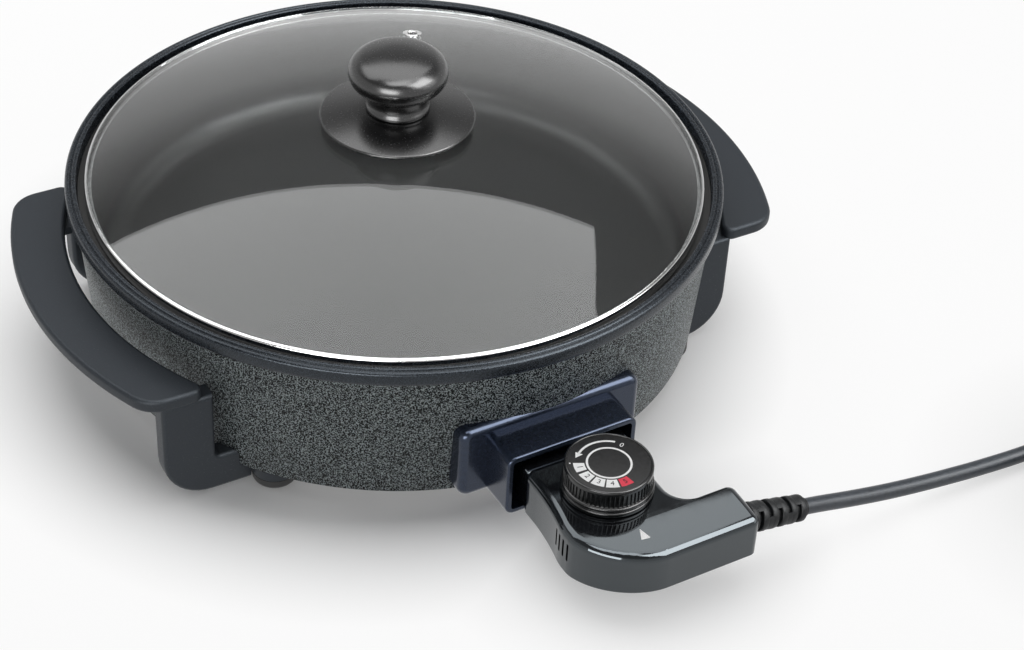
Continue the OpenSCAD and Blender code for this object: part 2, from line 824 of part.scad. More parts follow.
// Flared base under the knob
module lid_knob_base() {
    color([0.08, 0.08, 0.09]) difference() {
        rotate_extrude() polygon([
            [0, skirt_z], [gasket_r + skirt_land, skirt_z], [skirt_r - skirt_lip, skirt_z + skirt_rise],
            [skirt_r, skirt_z + skirt_edge / 2], [skirt_r - skirt_lip, skirt_z + skirt_edge],
            [neck_r + skirt_land, skirt_top], [0, skirt_top]
        ]);
        translate([0, 0, skirt_z - lap]) cylinder(r = knob_screw_r + seat_gap, h = skirt_h + 2 * lap);
    }
}

// Round knob on a waisted neck
module lid_knob() {
    half = knob_h / 2;
    swell = [for (a = [-80 : 10 : 90]) [max(0, knob_r * cos(a)), knob_mid + half * sin(a)]];
    color([0.08, 0.08, 0.09]) difference() {
        rotate_extrude() union() {
            polygon(concat([[0, knob_mid - half]], swell));
            polygon([[0, skirt_top], [neck_r, skirt_top], [neck_r - neck_waist, skirt_top + neck_h / 2],
                     [neck_r, skirt_top + neck_h + lap], [neck_r, knob_mid], [0, knob_mid]]);
        }
        translate([0, 0, skirt_top - lap])
            cylinder(r = knob_screw_r + screw_gap, h = knob_bore_top - skirt_top + lap);
    }
}

module lid_washer() {
    color([0.75, 0.76, 0.77]) translate([0, 0, dome_top - glass_t - washer_t - seat_gap]) difference() {
        cylinder(r = washer_r, h = washer_t);
        translate([0, 0, -lap]) cylinder(r = knob_screw_r + seat_gap, h = washer_t + 2 * lap);
    }
}

module lid_knob_screw() {
    under = dome_top - glass_t - washer_t - seat_gap;
    color([0.72, 0.73, 0.75]) translate([0, 0, under - knob_head_h])
        screw(knob_head_r, knob_head_h, knob_screw_r, knob_bore_top - under - knob_end_gap);
}

module vent_grommet() {
    outer = vent_r + vent_sleeve;
    color([0.85, 0.86, 0.87]) at_vent() difference() {
        union() {
            translate([0, 0, -glass_t - seat_gap]) cylinder(r = outer, h = glass_t + 2 * seat_gap);
            translate([0, 0, seat_gap]) cylinder(r = vent_r + vent_flange, h = vent_flange_t);
            translate([0, 0, -glass_t - seat_gap - vent_flange_t])
                cylinder(r = vent_r + vent_flange, h = vent_flange_t);
        }
        translate([0, 0, -2 * glass_t]) cylinder(r = vent_r, h = 4 * glass_t);
    }
}

// Control housing

// Plan of the control, drawn in by d
module control_plan(d) {
    left = -side_x + d;
    nose = nose_w - d;
    waist = waist_x - d;
    right = right_x - d;
    front_start = 180 + acos((side_x + front_mid - d) / (front_round - d));
    polygon(concat(
        [[-nose, -nose_y - d], [-nose, -body_y], [-waist, -body_y - flare_start]],
        [[-waist, -body_y - waist_l], [left, -flare_y]],
        arc([front_mid, -front_y + front_round], front_round - d, front_start, 270),
        arc([arm_x - arm_round, -front_y + arm_round], arm_round - d, 270, 360),
        arc([arm_x - arm_round, -arm_back - arm_round], arm_round - d, 0, 90),
        arc([right_x + inner_round, -arm_back + inner_round], inner_round + d, 270, 180),
        [[right, -body_y - flare_start], [nose, -body_y - flare_start], [nose, -nose_y - d]]
    ));
}

// Solid of the control, drawn in by d all round, from z0 to z1, with the raised underside of the nose.
// The top of the nose lies lower by drop.
module control_solid(d, z0, z1, drop) {
    nose_floor = max(z0, nose_low + d);
    translate([0, 0, z0]) linear_extrude(z1 - z0) intersection() {
        control_plan(d);
        translate([-2 * arm_x, -2 * front_y]) square([4 * arm_x, 2 * front_y - body_y - d]);
    }
    translate([0, 0, nose_floor]) linear_extrude(z1 - drop - nose_floor) intersection() {
        control_plan(d);
        translate([-2 * arm_x, -body_y - nose_lap]) square([4 * arm_x, body_y]);
    }
}

// Everything that passes through the walls of the control
module control_openings() {
    for (sx = [-1, 1])
        rod_y(sx * pin_x, element_z, pin_r + pin_hole_gap, -nose_y - case_wall - lap, -nose_y + lap);
    rod_y(0, element_z, probe_r + screw_gap, -nose_y - case_wall - lap, -nose_y + lap);
    rod_x(-relief_y, relief_z, relief_neck_r + seat_gap, arm_x - case_wall - lap, arm_x + lap);
    for (i = [0 : vent_slots - 1])
        translate([-side_x - slot_cut, -flare_y + slot_start - i * slot_pitch, slot_low])
            cube([slot_cut + 2 * case_wall, slot_w, slot_h]);
}

module control_top() {
    color([0.05, 0.05, 0.06]) difference() {
        union() {
            difference() {
                control_solid(0, seam_z, control_top_z, nose_drop);
                control_solid(case_wall, seam_z - lap, roof_in, nose_drop);
            }
            // posts for the screws and the bearing of the spindle
            for (p = case_screws) translate([p[0], p[1], seam_z])
                cylinder(r = post_r, h = roof_in - seam_z + lap);
            translate([0, -dial_y, roof_in - bearing_h])
                cylinder(r = spindle_r + bearing_wall, h = bearing_h + lap);
        }
        control_openings();
        for (p = case_screws) translate([p[0], p[1], seam_z - lap])
            cylinder(r = case_screw_r + screw_gap, h = case_screw_end + screw_end_gap - seam_z + lap);
        translate([0, -dial_y, seam_z]) cylinder(r = spindle_r + shaft_gap, h = control_top_z);
    }
}

module control_bottom() {
    color([0.05, 0.05, 0.06]) difference() {
        union() {
            difference() {
                control_solid(0, control_low, seam_z, 0);
                control_solid(case_wall, floor_in, seam_z + lap, 0);
            }
            for (p = case_screws) translate([p[0], p[1], control_low])
                cylinder(r = post_r, h = seam_z - control_low);
        }
        control_openings();
        for (p = case_screws) translate([p[0], p[1], control_low - lap]) {
            cylinder(r = case_head_r + seat_gap, h = lap + case_head_h + head_sink);
            cylinder(r = case_screw_r + seat_gap, h = seam_z);
        }
    }
}

module control_screws() {
    color([0.72, 0.73, 0.75]) for (p = case_screws)
        translate([p[0], p[1], control_low + head_sink - seat_gap])
            screw(case_head_r, case_head_h, case_screw_r, case_screw_l);
}

// Insulating block that carries the sleeves and the probe
module terminal_block() {
    color([0.62, 0.42, 0.26]) difference() {
        translate([-block_w, -block_y - block_l, block_low])
            cube([2 * block_w, block_l, block_top - block_low]);
        for (sx = [-1, 1])
            rod_y(sx * pin_x, element_z, sleeve_in_r + sleeve_wall + screw_gap,
                  -sleeve_end, -block_y + lap);
        rod_y(0, element_z, probe_r + screw_gap, -sleeve_end, -block_y + lap);
    }
}

module contact_sleeves() {
    color([0.78, 0.62, 0.30]) for (sx = [-1, 1]) difference() {
        rod_y(sx * pin_x, element_z, sleeve_in_r + sleeve_wall, -sleeve_end, -block_y);
        rod_y(sx * pin_x, element_z, sleeve_in_r, -sleeve_end + sleeve_wall, -block_y + lap);
    }
}

// Springs that carry the current from the sleeves
module contact_blades() {
    width = 2 * sleeve_in_r;
    color([0.78, 0.62, 0.30]) for (sx = [-1, 1])
        translate([sx * pin_x - width / 2, -sleeve_end - blade_l, element_z - blade_t / 2])
            cube([width, blade_l, blade_t]);
}

// Strip behind the probe that the spindle presses on
module bimetal_arm() {
    width = 2 * probe_r;
    color([0.70, 0.68, 0.66]) translate([-width / 2, -dial_y - bimetal_over, bimetal_z])
        cube([width, dial_y + bimetal_over - probe_end, blade_t]);
}

module temperature_probe() {
    color([0.78, 0.79, 0.80]) {
        rod_y(0, element_z, probe_r, -probe_end, -probe_tip - probe_r);
        translate([0, -probe_tip - probe_r, element_z]) sphere(probe_r);
    }
}

// Tapered grommet that holds the cord
module strain_relief() {
    inner = arm_x - case_wall - seat_gap;
    color([0.06, 0.06, 0.07]) {
        rod_x(-relief_y, relief_z, relief_flange_r, inner - relief_flange_t, inner);
        rod_x(-relief_y, relief_z, relief_neck_r, inner - lap, arm_x + lap);
        difference() {
            translate([arm_x, -relief_y, relief_z]) rotate([0, relief_tilt, 0])
                rod_x(0, 0, relief_r, -relief_root, relief_l, relief_tip_r);
            translate([arm_x + seat_gap - 2 * relief_r, -relief_y - 2 * relief_r, relief_z - 2 * relief_r])
                cube([2 * relief_r, 4 * relief_r, 4 * relief_r]);
        }
    }
}

// Dial

module dial_knob() {
    color([0.06, 0.06, 0.07]) translate([0, -dial_y, 0]) difference() {
        union() {
            translate([0, 0, dial_low]) cylinder(r = dial_foot_r, h = dial_foot_h);
            translate([0, 0, dial_low]) cylinder(r = dial_r, h = dial_h);
        }
        // seat of the printed plate
        translate([0, 0, dial_top - dial_plate_t]) cylinder(r = dial_r - dial_rim, h = dial_plate_t + lap);
        // hollow under the knob, round the hub
        difference() {
            translate([0, 0, dial_low - lap])
                cylinder(r = dial_r - dial_wall, h = lap + dial_h - dial_plate_t - dial_roof - lap);
            translate([0, 0, dial_low - 2 * lap]) cylinder(r = hub_r, h = dial_h);
        }
        translate([0, 0, dial_low - lap])
            cylinder(r = spindle_r + shaft_gap, h = spindle_top - dial_low + lap + seat_gap);
        for (i = [0 : dial_flutes - 1]) rotate([0, 0, i * 360 / dial_flutes])
            translate([dial_r + flute_r / 2, 0, dial_low + dial_foot_h + flute_up])
                cylinder(r = flute_r, h = dial_h);
    }
}

module dial_plate() {
    color([0.03, 0.03, 0.03]) translate([0, -dial_y, dial_top - dial_plate_t])
        cylinder(r = dial_r - dial_rim - screw_gap, h = dial_plate_t);
}

module dial_spindle() {
    color([0.72, 0.73, 0.75]) translate([0, -dial_y, 0]) {
        translate([0, 0, spindle_low]) cylinder(r = spindle_r, h = spindle_top - spindle_low);
        translate([0, 0, roof_in - bearing_h - move_gap - collar_t]) cylinder(r = collar_r, h = collar_t);
    }
}

// Cord, coil and plug

// Directions along a path that starts along first and ends along X
function cord_dirs(path, first) = [for (i = [0 : len(path) - 1])
    i == 0 ? first : i == len(path) - 1 ? [1, 0, 0] : unit(path[i + 1] - path[i - 1])];

module cord() {
    color([0.14, 0.16, 0.20]) tube(cord_path, cord_dirs(cord_path, relief_dir), cord_r, 10);
}

// The coil winds inward on the table, climbs a layer in half a turn, and winds outward on top.
// t counts turns from the entry.
function coil_climb(t) = max(0, min(1, 2 * (t - coil_loops / 2) + 0.5));
function coil_rise(t) = let (s = coil_climb(t)) s * s * (3 - 2 * s);
function coil_radius(t) = coil_r - coil_step * min(t, coil_loops - t);
function coil_point(t) =
    let (a = full_turn / 4 - full_turn * t)
    [coil_centre[0] + coil_radius(t) * cos(a), coil_centre[1] + coil_radius(t) * sin(a),
     coil_low + coil_layer * coil_rise(t)];
coil_turns = [for (i = [0 : coil_loops * loop_steps]) coil_point(i / loop_steps)];
coil_path = concat(
    [[coil_x - cord_d, coil_entry_y, coil_low]], coil_turns, [[coil_end_x, coil_entry_y, coil_top]]
);

// Least gap between loops, over all pairs of points that lie half a turn or more apart
coil_gap = min([for (i = [0 : len(coil_turns) - 1])
    for (k = [i + loop_steps / 2 : 1 : len(coil_turns) - 1]) norm(coil_turns[i] - coil_turns[k])]) - cord_d;
echo(coil_gap = coil_gap);

module cord_coil() {
    color([0.14, 0.16, 0.20]) tube(coil_path, cord_dirs(coil_path, [1, 0, 0]), cord_r, 6);
}

// Strap round the loops on the far side of the coil
module cord_tie() {
    near = coil_centre[0] + coil_r - 1.25 * coil_step - cord_r - tie_gap;
    far = coil_centre[0] + coil_r - 0.25 * coil_step + cord_r + tie_gap;
    low = coil_low - cord_r - tie_gap;
    high = coil_top + cord_r + tie_gap;
    color([0.10, 0.10, 0.11]) along_y(coil_centre[1] - tie_w / 2, coil_centre[1] + tie_w / 2) difference() {
        round_rect([near - tie_t, low - tie_t], [far + tie_t, high + tie_t], tie_round);
        round_rect([near, low], [far, high], tie_round - tie_t);
    }
}

module plug_body() {
    color([0.06, 0.06, 0.07]) {
        rod_x(coil_entry_y, coil_top, cord_r + plug_neck_out, coil_end_x, plug_x + lap, plug_cone_r);
        translate([plug_x, coil_entry_y, coil_top]) rotate([90, 0, 90]) linear_extrude(plug_l)
            round_rect([-plug_w / 2, -plug_h / 2], [plug_w / 2, plug_h / 2], plug_round);
    }
}

module plug_pins() {
    face = plug_x + plug_l;
    color([0.80, 0.72, 0.45]) {
        for (sy = [-1, 1])
            translate([face, coil_entry_y + sy * blade_gap - blade_size[1] / 2,
                       coil_top + blade_up - blade_size[2] / 2]) cube(blade_size);
        rod_x(coil_entry_y, coil_top - ground_down, ground_r, face, face + ground_l);
    }
}

stand() pan();
stand() outer_shell();
stand() base_plate();
stand() heating_element();
stand() pin_insulators();
stand() socket_guard();
stand() guard_screws();
stand() left_handle();
stand() right_handle();
stand() handle_screws();
stand() foot(-1, -1);  // foot_front_left
stand() foot(1, -1);  // foot_front_right
stand() foot(-1, 1);  // foot_rear_left
stand() foot(1, 1);  // foot_rear_right
stand() lid_glass();
stand() lid_band();
stand() lid_gasket();
stand() lid_knob_base();
stand() lid_knob();
stand() lid_washer();
stand() lid_knob_screw();
stand() vent_grommet();
stand() control_top();
stand() control_bottom();
stand() control_screws();
stand() terminal_block();
stand() contact_sleeves();
stand() contact_blades();
stand() bimetal_arm();
stand() temperature_probe();
stand() strain_relief();
stand() dial_knob();
stand() dial_plate();
stand() dial_spindle();
stand() cord();
stand() cord_coil();
stand() cord_tie();
stand() plug_body();
stand() plug_pins();
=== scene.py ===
# %% [markdown]
# # A round electric skillet
# A countertop pan with a lift-off glass lid, two moulded handles on legs, a socket guard, and a
# plug-in thermostat control with a dial and a cord. The solid model is loaded as a fixed frame, and
# every piece that shows is modelled again here with finer edges and its own finish. Lengths are
# written in millimetres about the axis of the pan, as a workshop drawing would give them.

# %% Load the frame
import math

import bmesh
import bpy
from mathutils import Matrix, Vector


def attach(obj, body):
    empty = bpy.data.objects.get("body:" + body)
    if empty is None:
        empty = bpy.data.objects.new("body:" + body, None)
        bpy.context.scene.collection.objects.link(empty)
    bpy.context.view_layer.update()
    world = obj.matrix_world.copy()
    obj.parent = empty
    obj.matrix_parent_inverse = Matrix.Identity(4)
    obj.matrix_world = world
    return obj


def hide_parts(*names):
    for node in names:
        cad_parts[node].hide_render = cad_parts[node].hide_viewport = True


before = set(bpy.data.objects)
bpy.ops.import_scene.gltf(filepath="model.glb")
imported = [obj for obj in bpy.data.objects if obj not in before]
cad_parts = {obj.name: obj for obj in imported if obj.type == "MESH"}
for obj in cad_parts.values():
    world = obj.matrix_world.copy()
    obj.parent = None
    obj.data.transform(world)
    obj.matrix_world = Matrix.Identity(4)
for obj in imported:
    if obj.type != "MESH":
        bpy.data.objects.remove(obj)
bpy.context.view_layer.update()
MM = 0.001
PAN_Y = 50.5  # the axis of the pan lies this far behind the origin
TO_ROW = Matrix.Scale(MM, 4) @ Matrix.Translation((0, PAN_Y, 0))

# %% [markdown]
# The camera stands in front of the pan and to its left, looks down on it as a standing cook would, and
# is turned a little about its own line of sight. A matrix built from three directions says this more
# plainly than three angles would, and the lens follows from the size of the pan in the picture.

# %% Camera
EYE = TO_ROW @ Vector((-484.2, -913.6, 811.5))
AIM = TO_ROW @ Vector((12.42, -109.56, 60))
ROLL = math.radians(3.24)
SENSOR, IMAGE_WIDTH, FOCAL_PIXELS = 36.0, 1024, 2276.98


def new_object(name, data):
    """Makes an object and links it to the scene."""
    made = bpy.data.objects.new(name, data)
    bpy.context.collection.objects.link(made)
    return made


forward = (AIM - EYE).normalized()
level = forward.cross(Vector((0, 0, 1))).normalized()
upright = level.cross(forward)
right = level * math.cos(ROLL) + upright * math.sin(ROLL)
above = upright * math.cos(ROLL) - level * math.sin(ROLL)
camera = new_object("camera", bpy.data.cameras.new("camera"))
camera.data.sensor_width = SENSOR
camera.data.lens = SENSOR * FOCAL_PIXELS / IMAGE_WIDTH
camera.matrix_world = Matrix.Translation(EYE) @ Matrix((right, above, -forward)).transposed().to_4x4()
bpy.context.scene.camera = camera
print("lens", round(camera.data.lens, 2), "mm")

# %% [markdown]
# Every finish is a small tree of nodes. A noise in Object coordinates gives the tone, the same noise
# drives the roughness, and a finer one lifts the surface a little as moulded plastic or paint does.
# One function lays the tree, so that each finish is only a set of numbers. Values that are the same
# all over the surface are typed on the shader itself.

# %% Tools for finishes
TONE_DETAIL, LIFT_DETAIL = 3.0, 2.0


def noise(tree, spot, scale, detail, twist=0.0):
    """A noise texture on the coordinates that come out of spot."""
    node = tree.nodes.new("ShaderNodeTexNoise")
    node.inputs["Scale"].default_value = scale
    node.inputs["Detail"].default_value = detail
    node.inputs["Distortion"].default_value = twist
    tree.links.new(spot, node.inputs["Vector"])
    return node.outputs["Fac"]


def ramp(tree, fac, stops):
    """A colour ramp with (position, colour) stops."""
    node = tree.nodes.new("ShaderNodeValToRGB")
    band = node.color_ramp
    while len(band.elements) < len(stops):
        band.elements.new(0.5)
    for element, (position, colour) in zip(band.elements, stops):
        element.position = position
        element.color = (*colour, 1)
    tree.links.new(fac, node.inputs["Fac"])
    return node.outputs["Color"]


def between(tree, value, low, high, into=(0.3, 0.7)):
    """Carries a value from the range `into` over to low..high."""
    node = tree.nodes.new("ShaderNodeMapRange")
    node.inputs["From Min"].default_value, node.inputs["From Max"].default_value = into
    node.inputs["To Min"].default_value, node.inputs["To Max"].default_value = low, high
    tree.links.new(value, node.inputs["Value"])
    return node.outputs["Result"]


def finish(name, stops, rough, grain, lift=0.0, lift_grain=None, twist=0.0, stretch=None, **sockets):
    """A finish: tone by stops over a noise of grain (per metre), roughness range, bump in metres."""
    material = bpy.data.materials.new(name)
    material.use_nodes = True
    tree = material.node_tree
    shader = tree.nodes["Principled BSDF"]
    spot = tree.nodes.new("ShaderNodeTexCoord").outputs["Object"]
    if stretch:
        mapping = tree.nodes.new("ShaderNodeMapping")
        mapping.inputs["Scale"].default_value = stretch
        tree.links.new(spot, mapping.inputs["Vector"])
        spot = mapping.outputs["Vector"]
    tone = noise(tree, spot, grain, TONE_DETAIL, twist)
    tree.links.new(ramp(tree, tone, stops), shader.inputs["Base Color"])
    tree.links.new(between(tree, tone, *rough), shader.inputs["Roughness"])
    if lift:
        bump = tree.nodes.new("ShaderNodeBump")
        bump.inputs["Distance"].default_value = lift
        height = noise(tree, spot, lift_grain, LIFT_DETAIL) if lift_grain else tone
        tree.links.new(height, bump.inputs["Height"])
        tree.links.new(bump.outputs["Normal"], shader.inputs["Normal"])
    for socket, value in sockets.items():
        shader.inputs[socket.replace("_", " ")].default_value = value
    return material


def grey(value):
    return (value, value, value)


# %% [markdown]
# The shell wears a two-tone hammered paint, and the rim the same kind of paint with less contrast. The
# inside has a black non-stick coat. The stops of the ramp make the speckle: close together they give
# hard grains, and far apart a soft mottle.

# %% Paints and coats
hammered = finish(
    "hammered_coat",
    [(0.47, (0.001, 0.0013, 0.0013)), (0.51, (0.012, 0.015, 0.015)), (0.56, (0.40, 0.45, 0.46))],
    (0.34, 0.5), 1400, lift=0.00016, twist=0.4, Specular_IOR_Level=0.1)
rim_coat = finish(
    "rim_coat",
    [(0.42, (0.003, 0.004, 0.006)), (0.52, (0.010, 0.013, 0.018)), (0.62, (0.035, 0.042, 0.052))],
    (0.22, 0.32), 1500, lift=0.00008, twist=0.3, Specular_IOR_Level=0.42, Specular_Tint=(0.8, 0.9, 1, 1))
non_stick = finish(
    "non_stick", [(0.35, grey(0.005)), (0.65, grey(0.011))], (0.34, 0.48), 900, lift=0.00005)
print("paints and coats:", hammered.name, rim_coat.name, non_stick.name)

# %% [markdown]
# The plastics differ in gloss more than in colour. The handles are matt, the guard is a satin
# blue-black, the control is glossy, and the knob and the dial lie between. The prints on the dial are
# flat white and red inks.

# %% Plastics and prints
handle_plastic = finish(
    "handle_plastic",
    [(0.30, (0.013, 0.016, 0.021)), (0.64, (0.020, 0.024, 0.031)), (0.74, (0.06, 0.066, 0.075))],
    (0.42, 0.58), 1300, lift=0.00006, lift_grain=2200, Specular_IOR_Level=0.4,
    Specular_Tint=(0.85, 0.93, 1, 1))
guard_plastic = finish(
    "guard_plastic", [(0.3, (0.010, 0.014, 0.025)), (0.7, (0.016, 0.022, 0.039))],
    (0.18, 0.24), 420, lift=0.000006, lift_grain=1800, Specular_IOR_Level=0.7,
    Specular_Tint=(0.6, 0.72, 1, 1))
control_plastic = finish(
    "control_plastic", [(0.3, (0.005, 0.005, 0.006)), (0.7, (0.009, 0.010, 0.012))],
    (0.05, 0.10), 160, lift=0.000004, lift_grain=300, Specular_IOR_Level=0.9,
    Specular_Tint=(0.84, 0.94, 1, 1))
knob_plastic = finish(
    "knob_plastic", [(0.3, grey(0.002)), (0.7, (0.005, 0.005, 0.006))],
    (0.22, 0.28), 900, lift=0.000004, lift_grain=2600, Specular_IOR_Level=0.9)
dial_plastic = finish(
    "dial_plastic", [(0.3, grey(0.003)), (0.7, (0.007, 0.008, 0.009))],
    (0.16, 0.26), 700, lift=0.00001, lift_grain=2000, Specular_IOR_Level=0.6)
dial_black = finish(
    "dial_black", [(0.3, grey(0.006)), (0.7, (0.012, 0.012, 0.013))], (0.28, 0.40), 500,
    Specular_IOR_Level=0.35)
print_white = finish(
    "print_white", [(0.3, grey(0.90)), (0.7, grey(0.95))], (0.40, 0.55), 1200)
print_red = finish(
    "print_red", [(0.3, (0.72, 0.010, 0.045)), (0.7, (0.82, 0.016, 0.06))], (0.40, 0.55), 1200)
print("glossiest plastic:", control_plastic.name)

# %% [markdown]
# A metal has Metallic at 1, and its tone is then the colour of what it mirrors. The steel of the lid
# band is drawn out along one axis, as if rolled. Rubber is dull and dark, and the glass of the lid lets
# nearly all light through.

# %% Metals, rubber and glass
band_steel = finish(
    "band_steel", [(0.3, grey(0.66)), (0.7, grey(0.78))], (0.10, 0.20), 300,
    stretch=(1, 1, 12), Metallic=1.0)
plain_steel = finish(
    "plain_steel", [(0.3, grey(0.44)), (0.7, grey(0.56))], (0.26, 0.40), 240, lift=0.00002, Metallic=1.0)
base_steel = finish(
    "base_steel", [(0.3, grey(0.30)), (0.7, grey(0.42))], (0.34, 0.50), 90, lift=0.00002,
    lift_grain=900, Metallic=1.0)
sheath = finish(
    "element_sheath", [(0.3, (0.16, 0.15, 0.14)), (0.7, (0.30, 0.27, 0.24))], (0.4, 0.6), 150,
    Metallic=1.0)
brass = finish(
    "contact_brass", [(0.3, (0.62, 0.44, 0.16)), (0.7, (0.74, 0.55, 0.24))], (0.18, 0.30), 300,
    Metallic=1.0)
ceramic = finish(
    "ceramic", [(0.3, (0.68, 0.64, 0.56)), (0.7, (0.80, 0.77, 0.70))], (0.45, 0.65), 500, lift=0.00003)
phenolic = finish(
    "phenolic", [(0.3, (0.20, 0.10, 0.045)), (0.7, (0.30, 0.16, 0.075))], (0.4, 0.55), 600)
foot_rubber = finish(
    "foot_rubber", [(0.3, grey(0.010)), (0.7, grey(0.020))], (0.60, 0.75), 700, lift=0.00005)
seal_rubber = finish(
    "seal_rubber", [(0.3, grey(0.55)), (0.7, grey(0.66))], (0.5, 0.7), 500)
relief_rubber = finish(
    "relief_rubber", [(0.3, (0.004, 0.005, 0.006)), (0.7, (0.010, 0.012, 0.014))],
    (0.38, 0.50), 900, lift=0.00004, lift_grain=2400, Specular_IOR_Level=0.3)
cord_jacket = finish(
    "cord_jacket", [(0.3, (0.024, 0.031, 0.041)), (0.7, (0.038, 0.047, 0.060))],
    (0.34, 0.46), 500, lift=0.00003, lift_grain=1400)
clear_glass = finish(
    "clear_glass", [(0.3, (0.955, 0.975, 0.975)), (0.7, (0.965, 0.985, 0.982))], (0.0, 0.012), 40,
    Transmission_Weight=1.0, IOR=1.47)
print("finishes:", len(bpy.data.materials))

# %% [markdown]
# Two small tools make nearly every shape. `turned` is a lathe: a flat profile with its corners rounded
# by a vertex bevel, spun about the Z axis. `slab` is a saw and a router: an outline with rounded
# corners, extruded, with its upper and lower edges eased.

# %% Tools for shapes
FULL, QUARTER = 2 * math.pi, math.pi / 2
TINY = 1e-4  # two points closer than this are one, in millimetres
LARGE_ROUND, SMALL_ROUND = 192, 48  # steps of a full turn


def eased(bm, geom, size, what, segments):
    return bmesh.ops.bevel(
        bm, geom=geom, offset=size, offset_type="OFFSET", affect=what, segments=segments,
        profile=0.5, material=-1, clamp_overlap=True)


def outline(corners, segments, upright_plane=False):
    """A flat face through (a, b, rounding) corners, in X and Y or in X and Z."""
    bm = bmesh.new()
    points = [(a, 0, b) if upright_plane else (a, b, 0) for a, b, _ in corners]
    verts = [bm.verts.new(point) for point in points]
    bm.faces.new(verts)
    for vert, (_, _, rounding) in zip(verts, corners):
        if rounding:
            eased(bm, [vert], rounding, "VERTICES", segments)
    return bm


def rectangle(x0, x1, y0, y1, rounding):
    return [(x0, y0, rounding), (x1, y0, rounding), (x1, y1, rounding), (x0, y1, rounding)]


def tidy(bm):
    """Merges doubled points and turns the faces outwards."""
    bmesh.ops.remove_doubles(bm, verts=bm.verts, dist=TINY)
    bmesh.ops.recalc_face_normals(bm, faces=bm.faces)
    return bm


def spun(bm, geom, angle, steps, merge=False, copies=False):
    """Spins geometry about the Z axis."""
    bmesh.ops.spin(bm, geom=geom, cent=(0, 0, 0), axis=(0, 0, 1), angle=angle, steps=steps,
                   use_merge=merge, use_duplicate=copies)


def turned(corners, steps=128, segments=5):
    """Spins a profile of (radius, height, rounding) corners once round the Z axis."""
    bm = outline(corners, segments, upright_plane=True)
    bmesh.ops.delete(bm, geom=bm.faces[:], context="FACES_ONLY")
    for edge in [e for e in bm.edges if all(abs(v.co.x) < TINY for v in e.verts)]:
        bm.edges.remove(edge)
    spun(bm, bm.verts[:] + bm.edges[:], FULL, steps, merge=True)
    return tidy(bm)


def everything(bm):
    return bm.verts[:] + bm.edges[:] + bm.faces[:]


def sliced(bm, point, normal):
    """Cuts new edges into a shape along a plane and keeps both sides."""
    bmesh.ops.bisect_plane(bm, geom=everything(bm), plane_co=point, plane_no=normal)


def level_edges(bm, height):
    """The edges that lie flat at one height."""
    return [e for e in bm.edges if all(abs(v.co.z - height) < TINY for v in e.verts)]


def raise_faces(bm, height):
    """Extrudes every face upwards and closes the shape."""
    raised = bmesh.ops.extrude_face_region(bm, geom=bm.faces[:])["geom"]
    bmesh.ops.translate(
        bm, vec=(0, 0, height), verts=[v for v in raised if isinstance(v, bmesh.types.BMVert)])


def slab(corners, low, high, top=0.0, foot=0.0, segments=5, edge_segments=4):
    """Extrudes an outline of (x, y, rounding) corners from low to high and eases its edges."""
    bm = outline(corners, segments)
    bmesh.ops.translate(bm, vec=(0, 0, low), verts=bm.verts)
    raise_faces(bm, high - low)
    bmesh.ops.recalc_face_normals(bm, faces=bm.faces)
    if top:
        eased(bm, level_edges(bm, high), top, "EDGES", edge_segments)
    if foot:
        eased(bm, level_edges(bm, low), foot, "EDGES", edge_segments)
    return bm


# %% [markdown]
# The next tools put shapes together. `placed` moves one, `joined` gathers several that touch, and `cut`
# takes shapes out of another with a Boolean modifier, which works on the meshes as an editor would.

# %% Tools for putting together
def placed(bm, matrix):
    bmesh.ops.transform(bm, matrix=matrix, verts=bm.verts)
    if matrix.determinant() < 0:
        bmesh.ops.reverse_faces(bm, faces=bm.faces)
    return bm


def joined(*parts):
    """Gathers several shapes into the first one."""
    whole = parts[0]
    for part in parts[1:]:
        mesh = bpy.data.meshes.new("part")
        part.to_mesh(mesh)
        part.free()
        whole.from_mesh(mesh)
        bpy.data.meshes.remove(mesh)
    return whole


def cut(bm, *cutters):
    """Takes the cutters out of a shape, both still in millimetres."""
    objects = []
    for shape in (bm, *cutters):
        mesh = bpy.data.meshes.new("shape")
        shape.to_mesh(mesh)
        shape.free()
        objects.append(new_object("shape", mesh))
    body = objects[0]
    for tool in objects[1:]:
        carve = body.modifiers.new("cut", "BOOLEAN")
        carve.operation, carve.solver, carve.object = "DIFFERENCE", "EXACT", tool
    view = bpy.context.evaluated_depsgraph_get()
    result = bmesh.new()
    result.from_mesh(body.evaluated_get(view).to_mesh())
    body.evaluated_get(view).to_mesh_clear()
    for used in objects:
        mesh = used.data
        bpy.data.objects.remove(used)
        bpy.data.meshes.remove(mesh)
    return result


# %% [markdown]
# Every piece ends the same way. It is moved to its place in metres, shaded smooth up to a crease, tied
# to the body that carries it, and the solids it stands for are hidden. Pieces with large flats also get
# weighted normals, so that the eased edges don't darken the flats.

# %% Tool for pieces
def add_piece(name, bm, body, finishes, stands_for=(), crease=38, weighted=False):
    """Makes the piece, in its place, with its finishes, on the body that carries it."""
    placed(bm, TO_ROW)
    mesh = bpy.data.meshes.new(name)
    bm.to_mesh(mesh)
    bm.free()
    for surface in finishes:
        mesh.materials.append(surface)
    mesh.shade_smooth()
    mesh.set_sharp_from_angle(angle=math.radians(crease))
    piece = new_object(name, mesh)
    if weighted:
        piece.modifiers.new("flat_faces", "WEIGHTED_NORMAL").keep_sharp = True
    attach(piece, body)
    if stands_for:
        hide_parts(*stands_for)
    print(name, len(mesh.polygons), "faces on", body)
    return piece


# %% [markdown]
# The cord leaves a rubber strain relief that droops a little under its weight, comes down to the
# table in one easy curve, and runs out of the picture. The rest of it is put away as for storage:
# three loops that wind inward on the table, climb one cord's thickness, and wind outward on top.

